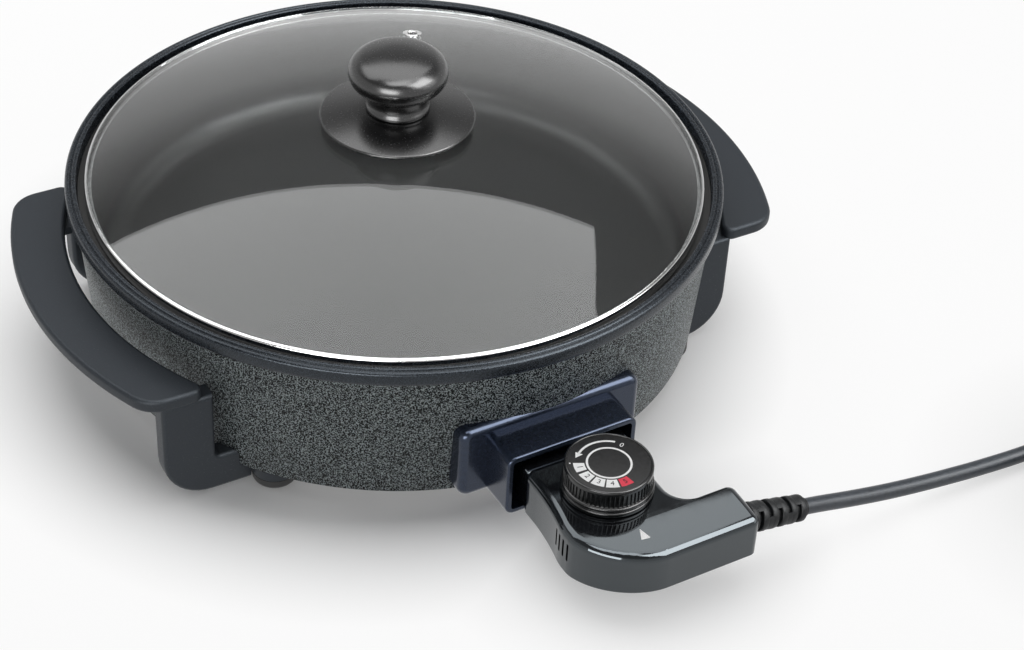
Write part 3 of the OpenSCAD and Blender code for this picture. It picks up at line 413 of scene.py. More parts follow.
# %% Route of the cord
CORD_D = 8.6
RELIEF_BASE = Vector((58, -267, 32.5))
RELIEF_L, RELIEF_TILT = 38, math.radians(12)
RELIEF_DIR = Vector((math.cos(RELIEF_TILT), 0, -math.sin(RELIEF_TILT)))
RELIEF_TIP = RELIEF_BASE + RELIEF_L * RELIEF_DIR
COIL_R, COIL_LOOPS, COIL_LOW, LOOP_STEPS = 52, 3, 5.6, 24
LOOP_STEP, LAYER_STEP = CORD_D + 0.8, CORD_D + 1
COIL_X, ENTRY_Y = RELIEF_TIP.x + 188, RELIEF_BASE.y - 5
COIL_TOP = COIL_LOW + LAYER_STEP
ROUTE = [  # run, side and fall from the tip of the strain relief
    (0, 0, 0), (7, 0, 1.5), (15, 0, 3.4), (25, 0.3, 5.6), (37, 0.7, 8), (49, 1.1, 10.2), (61, 1.5, 12.1),
    (73, 1.9, 13.7), (85, 2.3, 15.1), (97, 2.7, 16.3), (109, 3.1, 17.4), (121, 3.5, 18.2), (133, 4, 18.7),
    (145, 4.5, 18.9), (161, 5, 19)]


def coil_point(turn):
    """The middle of the cord after some turns of the coil."""
    angle = QUARTER - FULL * turn
    radius = COIL_R - LOOP_STEP * min(turn, COIL_LOOPS - turn)
    climb = max(0.0, min(1.0, 2 * (turn - COIL_LOOPS / 2) + 0.5))
    rise = climb * climb * (3 - 2 * climb)
    return Vector((COIL_X + radius * math.cos(angle), ENTRY_Y - COIL_R + radius * math.sin(angle),
                   COIL_LOW + LAYER_STEP * rise))


cord_points = [RELIEF_TIP + Vector((run, -aside, -fall)) for run, aside, fall in ROUTE]
cord_points.append(Vector((COIL_X - CORD_D, ENTRY_Y, COIL_LOW)))
cord_points += [coil_point(i / LOOP_STEPS) for i in range(COIL_LOOPS * LOOP_STEPS + 1)]
cord_points.append(Vector((COIL_X + CORD_D, ENTRY_Y, COIL_TOP)))

# %% [markdown]
# One Bezier spline with automatic handles carries the whole length, so nothing is cut or joined. The
# round bevel of the curve gives it its thickness.

# %% Cord
line = bpy.data.curves.new("cord_line", "CURVE")
line.dimensions = "3D"
line.resolution_u = 4
line.bevel_depth = CORD_D / 2 * MM
line.bevel_resolution = 5
line.use_fill_caps = True
spline = line.splines.new("BEZIER")
spline.bezier_points.add(len(cord_points) - 1)
for knot, point in zip(spline.bezier_points, cord_points):
    knot.co = TO_ROW @ point
    knot.handle_left_type = knot.handle_right_type = "AUTO"
cord = new_object("mains_cord", line)
line.materials.append(cord_jacket)
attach(cord, "control")
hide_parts("cord", "cord_coil")
print("cord of", CORD_D, "mm with", len(spline.bezier_points), "knots")

# %% [markdown]
# The plug is moulded on the end of the cord and lies beside the coil. Its body is a rounded block
# with a waist that gives the fingers a hold, and its neck is a ribbed cone.

# %% Plug
END_X = COIL_X + CORD_D
NECK_L, PLUG_L, PLUG_W, PLUG_LIFT = 30, 38, 27, 0.3
PLUG_H = 2 * (COIL_TOP - PLUG_LIFT)
NECK_RIBS, RIB_PITCH, NECK_R, NECK_GROWS = 6, 4.6, 5.2, 0.45
GRIP_SLICES, WAIST = (8, 16, 24, 31), (15, 25)
ALONG_X = Matrix.Rotation(QUARTER, 4, "Y")  # turns a piece drawn along Z to lie along X


def at_plug(distance):
    return Matrix.Translation((END_X + distance, ENTRY_Y, COIL_TOP)) @ ALONG_X


neck_rings = [(0, 0, 0), (5.1, 0, 0.4)]
for ring in range(NECK_RIBS):
    reach, foot = NECK_R + NECK_GROWS * ring, RIB_PITCH * ring
    neck_rings += [(reach, 2.5 + foot, 0.4), (reach + 0.5, 2.9 + foot, 0.3),
                   (reach + 0.7, 5.4 + foot, 0.3), (reach + 0.2, 5.8 + foot, 0.4)]
neck_rings += [(8, NECK_L + 1, 0), (0, NECK_L + 1, 0)]
neck = placed(turned(neck_rings, SMALL_ROUND, 2), at_plug(0))

grip = slab(rectangle(-PLUG_H / 2, PLUG_H / 2, -PLUG_W / 2, PLUG_W / 2, 5), 0, PLUG_L, 1.6, 2.4)
for height in GRIP_SLICES:
    sliced(grip, (0, 0, height), (0, 0, 1))
waist = [v for v in grip.verts if WAIST[0] < v.co.z < WAIST[1]]
bmesh.ops.scale(grip, vec=(0.9, 0.88, 1), verts=waist)
plug = add_piece("plug_grip", joined(placed(grip, at_plug(NECK_L)), neck), "control",
                 [relief_rubber], ["plug_body"], crease=30)

# %% [markdown]
# The blades are flat brass with eased tips. The round ground pin stands below them.

# %% Plug blades
BLADE_T, BLADE_W, BLADE_L, BLADE_SIDE, BLADE_UP = 1.5, 6.35, 16, 6.35, 4
GROUND_R, GROUND_L, GROUND_DOWN = 2.4, 19, 7.9
BLADE_FACE = rectangle(-BLADE_T / 2, BLADE_T / 2, -BLADE_W / 2, BLADE_W / 2, 0.3)
PLUG_FACE = at_plug(NECK_L + PLUG_L)
pins = []
for side in (-1, 1):
    blade = slab(BLADE_FACE, 0, BLADE_L, 0.5, 0, 2, 2)
    spot = Matrix.Translation((-BLADE_UP, side * BLADE_SIDE, 0)) @ Matrix.Rotation(QUARTER, 4, "Z")
    pins.append(placed(blade, PLUG_FACE @ spot))
ground = turned([(0, 0, 0), (GROUND_R, 0, 0), (GROUND_R, GROUND_L, 1.4), (0, GROUND_L, 0)], 32)
pins.append(placed(ground, PLUG_FACE @ Matrix.Translation((GROUND_DOWN, 0, 0))))
plug_blades = add_piece("plug_blades", joined(*pins), "control", [brass], ["plug_pins"])

# %% [markdown]
# The strap that holds the coil is a flat band bent round the loops: an eased block with a block cut out
# of it.

# %% Tie
TIE_T, TIE_W, TIE_GAP, TIE_EASE = 0.8, 5, 0.4, 0.25
tie_near = COIL_R - 1.25 * LOOP_STEP - CORD_D / 2 - TIE_GAP
tie_far = COIL_R - 0.25 * LOOP_STEP + CORD_D / 2 + TIE_GAP
tie_low, tie_high = COIL_LOW - CORD_D / 2 - TIE_GAP, COIL_TOP + CORD_D / 2 + TIE_GAP


def tie_block(grow, rounding, half, ease=0.0):
    """A block across the loops, larger than they are by some growth, from -half to half in width."""
    corners = rectangle(tie_near - grow, tie_far + grow, tie_low - grow, tie_high + grow, rounding)
    upright_turn = Matrix.Translation((COIL_X, ENTRY_Y - COIL_R, 0)) @ Matrix.Rotation(QUARTER, 4, "X")
    return placed(slab(corners, -half, half, ease, ease), upright_turn)


strap = cut(tie_block(TIE_T, 2, TIE_W / 2, TIE_EASE), tie_block(0, 1.2, TIE_W * 2))
tie = add_piece("cord_strap", strap, "control", [foot_rubber], ["cord_tie"])

# %% [markdown]
# The pan is cast aluminium. Inside it is a black non-stick coat. The rim is one bead with a narrow
# inner ridge, a fine groove and a rounded outer roll, painted like the wall, and the lid sits on a
# ledge below it. The whole section is a single profile on the lathe, and the faces of the rim then
# take the second finish.

# %% Pan
RIM_R, RIM_Z, SEAT_R, LEDGE_Z = 180, 99, 173.8, 92
PAINT_FROM = SEAT_R - 0.2  # paint outside this radius, non-stick coat inside
pan = turned([
    (0, 34, 0), (0, 38, 0), (162.4, 38, 12), (167.8, LEDGE_Z, 0.8), (SEAT_R, LEDGE_Z, 1),
    (SEAT_R, RIM_Z, 1.1), (176.3, RIM_Z, 0.8), (176.6, 98.1, 0.2), (177.0, 98.1, 0.2),
    (177.5, 98.8, 0.5), (RIM_R, 98.8, 2.2), (RIM_R, 90, 2.8), (176.5, 90, 0.3), (176.5, 89, 0),
    (174.2, 89, 0), (174.2, 85, 0), (170.8, 85, 0), (165.6, 34, 14)], LARGE_ROUND, 6)
for face in pan.faces:
    middle = face.calc_center_median()
    if math.hypot(middle.x, middle.y) > PAINT_FROM:
        face.material_index = 1
add_piece("pan_bowl", pan, "base", [non_stick, rim_coat], ["pan"])

# %% [markdown]
# Round the pan stands a thin steel shell with a coarse two-tone hammered paint. It tapers a little
# towards the table. A thin closed profile is enough for it; the paint does the rest.

# %% Outer shell
SHELL_LOW, SHELL_TOP, SHELL_LOW_R, SHELL_TOP_R, SHELL_T = 12, 88.8, 170, 176, 1.2
SHELL_GAP = 0.2  # what seats against the shell keeps this much away
shell = turned([(SHELL_LOW_R - SHELL_T, SHELL_LOW, 0), (SHELL_LOW_R, SHELL_LOW, 0.7),
                (SHELL_TOP_R, SHELL_TOP, 0), (SHELL_TOP_R - SHELL_T, SHELL_TOP, 0)], LARGE_ROUND, 3)
add_piece("hammered_shell", shell, "base", [hammered], ["outer_shell"])


def shell_core():
    """A cone that fills the shell up to the rim, for cutting what seats against it."""
    low_r = SHELL_LOW_R + SHELL_GAP
    high_r = low_r + (SHELL_TOP_R - SHELL_LOW_R) / (SHELL_TOP - SHELL_LOW) * (RIM_Z - SHELL_LOW)
    return turned(
        [(0, SHELL_LOW, 0), (low_r, SHELL_LOW, 0), (high_r, RIM_Z, 0), (0, RIM_Z, 0)], LARGE_ROUND)


# %% [markdown]
# The socket guard is a moulded collar: a flange that follows the shell and a shorter box with an open
# front, where the control plugs in. Both are slabs with rounded corners. The front edges are eased,
# because those edges catch the light; the cone of the shell then cuts the back to fit.

# %% Socket guard
FLANGE_Y, BOX_Y, GUARD_LOW, GUARD_WALL = 174.5, 195.5, 15, 3
FLANGE_W, FLANGE_TOP, FLANGE_BACK, FLANGE_EASE = 53, 58.5, 142, 4.2
BOX_W, BOX_TOP, BOX_BACK, BOX_EASE = 38, 52.5, 150, 1.3
OUT_OF_WALL = Matrix.Rotation(QUARTER, 4, "X")  # carries a slab's Z to -Y and its Y to Z


def guard_face(half, high, rounding, wall=0):
    """The front view of the flange or the box, or of the hollow in it."""
    return rectangle(wall - half, half - wall, GUARD_LOW + wall, high - wall, rounding)


flange = placed(slab(guard_face(FLANGE_W, FLANGE_TOP, 6), FLANGE_BACK, FLANGE_Y, FLANGE_EASE,
                     segments=6, edge_segments=6), OUT_OF_WALL)
box = placed(slab(guard_face(BOX_W, BOX_TOP, 5), BOX_BACK, BOX_Y, BOX_EASE, segments=6), OUT_OF_WALL)
hollow = placed(
    slab(guard_face(BOX_W, BOX_TOP, 2, GUARD_WALL), FLANGE_Y + GUARD_WALL, BOX_Y + 5), OUT_OF_WALL)
guard = joined(cut(flange, shell_core()), cut(box, hollow, shell_core()))
add_piece("guard_collar", guard, "base", [guard_plastic], ["socket_guard"], weighted=True)

# %% [markdown]
# Each handle is one heat-proof moulding: a curved plate along the rim, two flat legs under its ends,
# and arms that run under the pan and carry the feet. The plate starts as two chains of arcs, its outer
# and its inner edge. A bridge fills the face between them, and the face is then raised and eased.

# %% Handle plate
PLATE_IN, PLATE_OUT, HANDLE_Z, HANDLE_T = 182, 211, 70, 8
HANDLE_END, OUTER_CORNER, INNER_CORNER, LONG_STEPS = 99, 18, 5, 48
PLATE_LOW, UPPER_EASE, LOWER_EASE, ARC_JOIN = HANDLE_Z - HANDLE_T, 2.2, 2.6, 0.01


def arc(bm, centre, radius, start, stop, steps):
    """Draws an arc at the underside of the plate by spinning one vertex about its centre."""
    middle = Vector((*centre, PLATE_LOW))
    first = bm.verts.new(middle + radius * Vector((math.cos(start), math.sin(start), 0)))
    bmesh.ops.spin(bm, geom=[first], cent=middle, axis=(0, 0, 1), angle=stop - start, steps=steps,
                   use_duplicate=False)


def handle_plate():
    """Two chains of arcs, the outer and the inner edge, bridged, raised and eased."""
    bm = bmesh.new()
    for edge, rounding, steps in ((PLATE_OUT, -OUTER_CORNER, 8), (PLATE_IN, INNER_CORNER, 6)):
        size = abs(rounding)
        y = HANDLE_END - size
        x = math.sqrt((edge + rounding) ** 2 - y ** 2)
        lean = math.atan2(y, x)
        touch = lean if rounding < 0 else math.pi + lean
        for side in (-1, 1):
            arc(bm, (x, side * y), size, side * QUARTER, side * touch, steps)
        arc(bm, (0, 0), edge, -lean, lean, LONG_STEPS)
    bmesh.ops.remove_doubles(bm, verts=bm.verts, dist=ARC_JOIN)
    bmesh.ops.bridge_loops(bm, edges=bm.edges[:])
    bmesh.ops.dissolve_faces(bm, faces=bm.faces[:])
    raise_faces(bm, HANDLE_T)
    tidy(bm)
    eased(bm, level_edges(bm, HANDLE_Z), UPPER_EASE, "EDGES", 4)
    eased(bm, level_edges(bm, PLATE_LOW), LOWER_EASE, "EDGES", 4)
    return bm


# %% [markdown]
# The legs are slabs cut from their side view, and the cone of the shell cuts them to fit the pan. One of
# them stands closer to the pan, and a small web under the plate reaches over to it.

# %% Handle legs
LEG_Y, LEG_T, LEG_D, LEG_OUT, SECOND_OUT = 98.6, 12, 28, 179.5, 160
LEG_TOP, LEG_CORNER, LEG_EASE, ARM_LOW, ARM_TOP = 64, 25, 2.4, 1, 22.5
FOOT, FOOT_R, FOOT_H, FOOT_GAP, BOSS_TOP = (120.74, 101.6), 12, 6, 0.3, 12
WEB_IN, WEB_OUT, WEB_FRONT, WEB_REAR = SECOND_OUT - 13, SECOND_OUT + 17, -90.6, -68.6


def leg(out, middle):
    """A leg with the arm under the pan, cut from its side view."""
    corners = [(FOOT[0], ARM_LOW, 0), (out, ARM_LOW, LEG_CORNER), (out, LEG_TOP, 0),
               (out - LEG_D, LEG_TOP, 0), (out - LEG_D, ARM_TOP, 3), (FOOT[0], ARM_TOP, 0)]
    bm = slab(corners, -LEG_T / 2, LEG_T / 2, LEG_EASE, LEG_EASE, 10, 4)
    return placed(bm, Matrix.Translation((0, middle, 0)) @ OUT_OF_WALL)


def at_foot(side):
    return Matrix.Translation((FOOT[0], side * FOOT[1], 0))


# %% [markdown]
# The plate, the legs, a boss over each foot and the web make one handle. The left handle is the same
# moulding, turned half a turn.

# %% Handles
HANDLE_TURN = Matrix.Rotation(math.radians(-0.9), 4, "Z")  # both handles stand a little askew


def handle():
    """The right handle: the rear leg under the plate, the front one closer to the pan."""
    middle = LEG_Y - LEG_T / 2
    parts = [handle_plate()]
    for side, out in ((1, LEG_OUT), (-1, SECOND_OUT)):
        recess_r = FOOT_R + FOOT_GAP
        recess = turned([(0, -5, 0), (recess_r, -5, 0), (recess_r, FOOT_H, 0), (0, FOOT_H, 0)], SMALL_ROUND)
        parts.append(cut(leg(out, side * middle), shell_core(), placed(recess, at_foot(side))))
        boss = turned(
            [(0, FOOT_H, 0), (FOOT_R, FOOT_H, 0.5), (FOOT_R, BOSS_TOP, 0), (0, BOSS_TOP, 0)], SMALL_ROUND)
        parts.append(placed(boss, at_foot(side)))
    corners = [(WEB_IN, WEB_FRONT, 1), (WEB_OUT, WEB_FRONT, 1),
               (WEB_OUT, WEB_REAR, 3), (WEB_IN, WEB_REAR, 1)]
    web = slab(corners, PLATE_LOW - 4, PLATE_LOW + 1, 0, 0.8)
    parts.append(cut(web, shell_core()))
    return placed(joined(*parts), HANDLE_TURN)


add_piece("handle_right", handle(), "base", [handle_plastic], ["right_handle"],
          weighted=True)
add_piece("handle_left", placed(handle(), Matrix.Rotation(math.pi, 4, "Z")), "base",
          [handle_plastic], ["left_handle"], weighted=True)

# %% [markdown]
# Four rubber feet are bonded under the arms. Each is a short turned stub with a soft lower edge.

# %% Feet
for end, y in (("front", -1), ("rear", 1)):
    for hand, x in (("left", -1), ("right", 1)):
        stub = turned([(0, 0, 0), (FOOT_R, 0, 3.4), (FOOT_R, FOOT_H, 0), (0, FOOT_H, 0)], SMALL_ROUND, 6)
        placed(stub, HANDLE_TURN @ Matrix.Translation((x * FOOT[0], y * FOOT[1], 0)))
        add_piece(f"rubber_{end}_{hand}", stub, "base", [foot_rubber],
                  [f"foot_{end}_{hand}"])

# %% [markdown]
# The lid is a shallow dome of tempered glass. One vertex is spun about the middle of the sphere to
# draw the arc, the arc is spun about the axis, and solidify gives it its thickness. A drill then makes
# the hole of the steam vent.

# %% Lid glass
GLASS_R, GLASS_T, DOME_TOP, SPHERE, KNOB_HOLE = 168.3, 4, 129.5, 458.6, 4
VENT_OUT, VENT_ANGLE, DRILL_R, DRILL_L = 108, math.radians(58), 4.1, 16
dome = bmesh.new()
dome.verts.new((KNOB_HOLE, 0, DOME_TOP))
bmesh.ops.spin(dome, geom=dome.verts[:], cent=(KNOB_HOLE, 0, DOME_TOP - SPHERE), axis=(0, 1, 0),
               angle=math.asin((GLASS_R - KNOB_HOLE) / SPHERE), steps=24, use_duplicate=False)
spun(dome, dome.verts[:] + dome.edges[:], FULL, 128, merge=True)
tidy(dome)
print("edge of the dome at", round(min(v.co.z for v in dome.verts), 2))
if sum(f.normal.z for f in dome.faces) < 0:
    bmesh.ops.reverse_faces(dome, faces=dome.faces)
bmesh.ops.solidify(dome, geom=dome.faces[:], thickness=GLASS_T)
bmesh.ops.recalc_face_normals(dome, faces=dome.faces)
tilt = math.asin(VENT_OUT / SPHERE)
AT_VENT = (Matrix.Rotation(VENT_ANGLE, 4, "Z") @ Matrix.Translation((0, 0, DOME_TOP - SPHERE))
           @ Matrix.Rotation(tilt, 4, "Y") @ Matrix.Translation((0, 0, SPHERE)))
drill = turned(
    [(0, -DRILL_L / 2, 0), (DRILL_R, -DRILL_L / 2, 0), (DRILL_R, DRILL_L / 2, 0), (0, DRILL_L / 2, 0)], 32)
add_piece("lid_pane", cut(dome, placed(drill, AT_VENT)), "lid", [clear_glass], ["lid_glass"])

# %% [markdown]
# The folded steel band round the edge of the glass and the eyelet of the steam vent are turned pieces.
# The eyelet is turned upright and then leans with the dome.

# %% Lid band and eyelet
VENT_R = 3
band = turned([
    (165, 92.3, 0.2), (169.5, 92.3, 0.5), (169.5, 98.6, 0.8), (167.3, 99.3, 0.4), (167.3, 98.5, 0.2),
    (168.5, 97.9, 0.3), (168.5, 93.3, 0.2), (165, 93.3, 0.2)], LARGE_ROUND, 4)
add_piece("lid_trim", band, "lid", [band_steel], ["lid_band"])
eyelet = turned([(VENT_R, -5, 0.3), (5.6, -5, 0.4), (5.6, -4.3, 0.2), (3.9, -4.2, 0.1), (3.9, 0.2, 0.1),
                 (5.6, 0.2, 0.3), (5.6, 1.1, 0.5), (VENT_R, 1.1, 0.5)], SMALL_ROUND, 3)
add_piece("vent_eyelet", placed(eyelet, AT_VENT), "lid", [band_steel], ["vent_grommet"])

# %% [markdown]
# The lid knob is a mushroom of phenolic plastic on a flared base that keeps steam off the fingers. The
# cap is flat on top with a soft shoulder and runs in under itself to a short neck.

# %% Lid knob
SKIRT_Z, SKIRT_TOP, KNOB_TOP = 130.3, 136.8, 171.5
skirt = turned([(2.7, SKIRT_Z, 0), (14, SKIRT_Z, 0.5), (42.2, SKIRT_Z + 0.3, 1), (42.2, SKIRT_Z + 2.5, 1),
                (19, SKIRT_TOP, 3), (2.7, SKIRT_TOP, 0)], 128)
add_piece("knob_skirt", skirt, "lid", [knob_plastic], ["lid_knob_base"])
cap = turned([(0, SKIRT_TOP, 0), (17.5, SKIRT_TOP, 1), (17.5, SKIRT_TOP + 2, 0.8), (16, SKIRT_TOP + 5, 2),
              (17, SKIRT_TOP + 11, 2), (23.5, 151, 4), (27.2, 157, 4), (26.6, 163, 4),
              (22.5, 167.6, 4), (13, KNOB_TOP - 0.7, 6), (0, KNOB_TOP, 0)], 96, 6)
add_piece("knob_cap", cap, "lid", [knob_plastic], ["lid_knob"], crease=50)

# %% [markdown]
# The control is a glossy black housing in two halves. From above it is a wedge with a wide round
# front and an arm to the right where the cord leaves. The cover is crowned: its flat is drawn in and
# raised a little, and it falls towards the front, so that it shines there and stays dark under the
# dial. Slots on its left side let heat out.

# %% Control cover
SEAM_Z, CONTROL_TOP, CROWN, CROWN_IN, EDGE_R = 26, 46.5, 0.45, 4.4, 4
SLOPE_FROM, SLOPE_TO, SLOPE_DROP, SLICE = -248, -281, 2.4, 3
SLOTS, SLOT_FROM, SLOT_PITCH, SLOT_LOW, SLOT_HIGH = 4, -237.2, 4, 29, 40
SLOT_FACE = rectangle(-40, -31.5, -0.8, 0.8, 0.5)
control_outline = [
    (-31, -198.5, 5), (-31, -225, 14), (-35, -242, 6), (-35, -251.3, 2.5), (-23.7, -281, 28.5),
    (58, -281, 4.5), (58, -253, 5), (26, -253, 12), (26, -198.5, 5)]


def sloped(bm):
    """Lets the top fall towards the front, more and more, and the seam stay where it is."""
    for vert in bm.verts:
        along = max(0.0, (SLOPE_FROM - vert.co.y) / (SLOPE_FROM - SLOPE_TO))
        up = max(0.0, (vert.co.z - SEAM_Z) / (CONTROL_TOP - SEAM_Z))
        vert.co.z -= SLOPE_DROP * along ** 2 * up
    return bm


cover = slab(control_outline, SEAM_Z, CONTROL_TOP - CROWN, 0, 0, 20)
lid_face = max(cover.faces, key=lambda f: f.calc_center_median().z)
bmesh.ops.inset_region(cover, faces=[lid_face], thickness=CROWN_IN, depth=0)
bmesh.ops.translate(cover, vec=(0, 0, CROWN), verts=lid_face.verts)
eased(cover, level_edges(cover, CONTROL_TOP - CROWN), EDGE_R, "EDGES", 6)
for y in range(SLOPE_TO + SLICE, SLOPE_FROM, SLICE):
    sliced(cover, (0, y, 0), (0, 1, 0))
sloped(cover)
slots = [placed(slab(SLOT_FACE, SLOT_LOW, SLOT_HIGH, 0.6, 0.6, 2, 2),
                Matrix.Translation((0, SLOT_FROM - SLOT_PITCH * i, 0))) for i in range(SLOTS)]
cover = cut(cover, *slots)
print("control cover with", len(slots), "slots")

# %% [markdown]
# A nose at the back of the cover goes into the guard, with two bores for the terminal pins. The tray
# closes the housing from below, along the same outline.

# %% Control nose and tray
CONTROL_LOW, NOSE_DROP, TRAY_R = 21, 1.2, 4
PIN_X, PIN_Z, BORE_R, BORE_FROM, BORE_TO = 16, 29.8, 3, 180, 196


def pin_bores():
    """Round cutters for the two holes that take the terminal pins."""
    profile = [(0, BORE_FROM, 0), (BORE_R, BORE_FROM, 0), (BORE_R, BORE_TO, 0), (0, BORE_TO, 0)]
    return [placed(turned(profile, 32), Matrix.Translation((x, 0, PIN_Z)) @ OUT_OF_WALL)
            for x in (-PIN_X, PIN_X)]


nose = slab([(-30, -201, 0), (-30, -190.5, 5), (30, -190.5, 5), (30, -201, 0)],
            CONTROL_LOW, CONTROL_TOP - NOSE_DROP, 1.2, 0.8, 6, 4)
socket = slab([(-29, -192, 0), (-29, -181.5, 2), (29, -181.5, 2), (29, -192, 0)], 22, 44.2, 1, 1, 4, 2)
housing = joined(cover, cut(nose, *pin_bores()), cut(socket, *pin_bores()))
add_piece("control_cover", housing, "control", [control_plastic], ["control_top"],
          weighted=True)
tray = slab(control_outline, CONTROL_LOW, SEAM_Z, 0, TRAY_R, 20)
add_piece("control_tray", tray, "control", [control_plastic], ["control_bottom"],
          weighted=True)

# %% [markdown]
# A small printed wedge on the cover points at the dial. It is sloped like the cover it lies on.

# %% Pointer
mark = slab([(-1.6, -260.9, 0.2), (-4.6, -267.7, 0.3), (0.4, -268.1, 0.3)],
            CONTROL_TOP - 0.5, CONTROL_TOP + 0.05)
add_piece("dial_pointer", sloped(mark), "control", [print_white])

# %% [markdown]
# The strain relief is a rubber sleeve of rings with staggered slots between them, so that it bends
# evenly. A core and six rings come from the lathe; in each gap two bridges, made by a part turn of a
# small rectangle, join the rings, and they change sides from gap to gap.

# %% Strain relief
RINGS, RING_FROM, RING_W, RING_GAP, RELIEF_R0, RELIEF_R1 = 6, 0.4, 3.7, 2.55, 8.3, 7.0
BRIDGE_SWEEP, OVERLAP, RELIEF_STEPS = math.radians(64), 0.3, 40

sleeve = [turned([(0, RING_FROM, 0), (5.6, RING_FROM, 0), (5.2, RELIEF_L, 0.6), (0, RELIEF_L, 0)],
                 RELIEF_STEPS)]
for ring in range(RINGS):
    low = RING_FROM + ring * (RING_W + RING_GAP)
    high = low + RING_W
    reach = RELIEF_R0 + (RELIEF_R1 - RELIEF_R0) * high / RELIEF_L
    profile = [(4, low, 0), (reach, low, 0.8), (reach, high, 0.8), (4, high, 0)]
    sleeve.append(turned(profile, RELIEF_STEPS, 3))
    if ring == RINGS - 1:
        continue
    for half in (0, 1):
        corners = rectangle(4.5, reach - 0.15, high - OVERLAP, high + RING_GAP + OVERLAP, 0)
        bridge = outline(corners, 1, upright_plane=True)
        turn_to = -BRIDGE_SWEEP / 2 + math.pi * half + (QUARTER if ring % 2 else 0)
        placed(bridge, Matrix.Rotation(turn_to, 4, "Z"))
        spun(bridge, bridge.faces[:], BRIDGE_SWEEP, 8)
        sleeve.append(tidy(bridge))
AT_RELIEF = Matrix.Translation(RELIEF_BASE) @ Matrix.Rotation(RELIEF_TILT, 4, "Y") @ ALONG_X
relief = placed(joined(*sleeve), AT_RELIEF)
add_piece("relief_sleeve", relief, "control", [relief_rubber], ["strain_relief"])

# %% [markdown]
# The dial is a grip with fine ribs on a stepped foot. One rib is a small eased block, copied round by
# a spin that duplicates.

# %% Dial grip
DIAL_Y, DIAL_LOW, DIAL_TOP, RIBS = -228, 47.1, 62.5, 60
AT_DIAL = Matrix.Translation((0, DIAL_Y, 0))
grip_body = turned([
    (3.1, DIAL_LOW, 0), (23.6, DIAL_LOW, 0.3), (23.6, 49.2, 0.6), (22.7, 49.4, 0.1), (22.7, 50.1, 0.1),
    (23.3, 50.3, 0.3), (23.3, 51.8, 0.6), (21.8, 52.2, 0.2), (21.8, 59.4, 0.1), (22.4, 59.6, 0.3),
    (22.4, DIAL_TOP, 0.9), (21.0, DIAL_TOP, 0.4), (21.0, 62.0, 0), (3.1, 62.0, 0)], 128, 4)
rib = slab([(21.4, -0.62, 0), (22.4, -0.42, 0.2), (22.4, 0.42, 0.2), (21.4, 0.62, 0)], 51.9, 59.7, 0, 0, 2)
spun(rib, everything(rib), FULL * (RIBS - 1) / RIBS, RIBS - 1, copies=True)
add_piece("dial_grip", placed(joined(grip_body, tidy(rib)), AT_DIAL), "dial",
          [dial_plastic], ["dial_knob"])

# %% [markdown]
# The face is a disc with prints, which are thin raised shapes, as ink would stand. Flat pieces of rings
# make most of them, and the numerals come from a text curve.

# %% Dial face and tools for prints
FACE_Z, INK, NUMERAL = 62.15, 0.06, 4.2
disc = turned([(0, 61.5, 0), (20.9, 61.5, 0), (20.9, FACE_Z, 0.15), (0, FACE_Z, 0)], 96)
add_piece("dial_disc", placed(disc, AT_DIAL), "dial", [dial_black], ["dial_plate"])


def about_dial(angle):
    return Matrix.Rotation(math.radians(angle), 4, "Z")


def sector(r0, r1, start, sweep, steps=12):
    """A flat piece of a ring between two radii, from an angle over a sweep, in degrees."""
    bm = bmesh.new()
    bm.edges.new([bm.verts.new((r, 0, FACE_Z)) for r in (r0, r1)])
    placed(bm, about_dial(start))
    spun(bm, bm.verts[:] + bm.edges[:], math.radians(sweep), steps, merge=sweep >= 360)
    raise_faces(bm, INK)
    return tidy(bm)


def numeral(text, angle, reach):
    """A numeral on the dial, its head towards the middle."""
    curve = bpy.data.curves.new("numeral", "FONT")
    curve.body, curve.size, curve.extrude = text, NUMERAL, INK / 2
    curve.align_x, curve.align_y = "CENTER", "CENTER"
    sketch = new_object("numeral", curve)
    view = bpy.context.evaluated_depsgraph_get()
    bm = bmesh.new()
    bm.from_mesh(sketch.evaluated_get(view).to_mesh())
    sketch.evaluated_get(view).to_mesh_clear()
    bpy.data.objects.remove(sketch)
    bpy.data.curves.remove(curve)
    heading = math.radians(angle)
    spot = Matrix.Translation((reach * math.cos(heading), reach * math.sin(heading), FACE_Z + 1.6 * INK))
    return placed(bm, spot @ Matrix.Rotation(heading + QUARTER, 4, "Z"))


# %% [markdown]
# The prints are a white circle, a row of numbered blocks of which the last is red, a nought, a tick and
# an arrow. Each colour is one piece.

# %% Dial prints
BLOCKS = [(1, 165), (2, 193), (3, 219), (4, 244.5), (5, 270)]  # number and angle of each block
BLOCK_IN, BLOCK_OUT, BLOCK_SWEEP, BLOCK_MIDDLE = 12.4, 18, 22.4, 15.1
ARROW_FROM, ARROW_SWEEP, ARROW_HEAD, NOUGHT, NOUGHT_REACH = 48, 80, 127, 34, 15.3


def block(angle):
    return sector(BLOCK_IN, BLOCK_OUT, angle - BLOCK_SWEEP / 2, BLOCK_SWEEP)


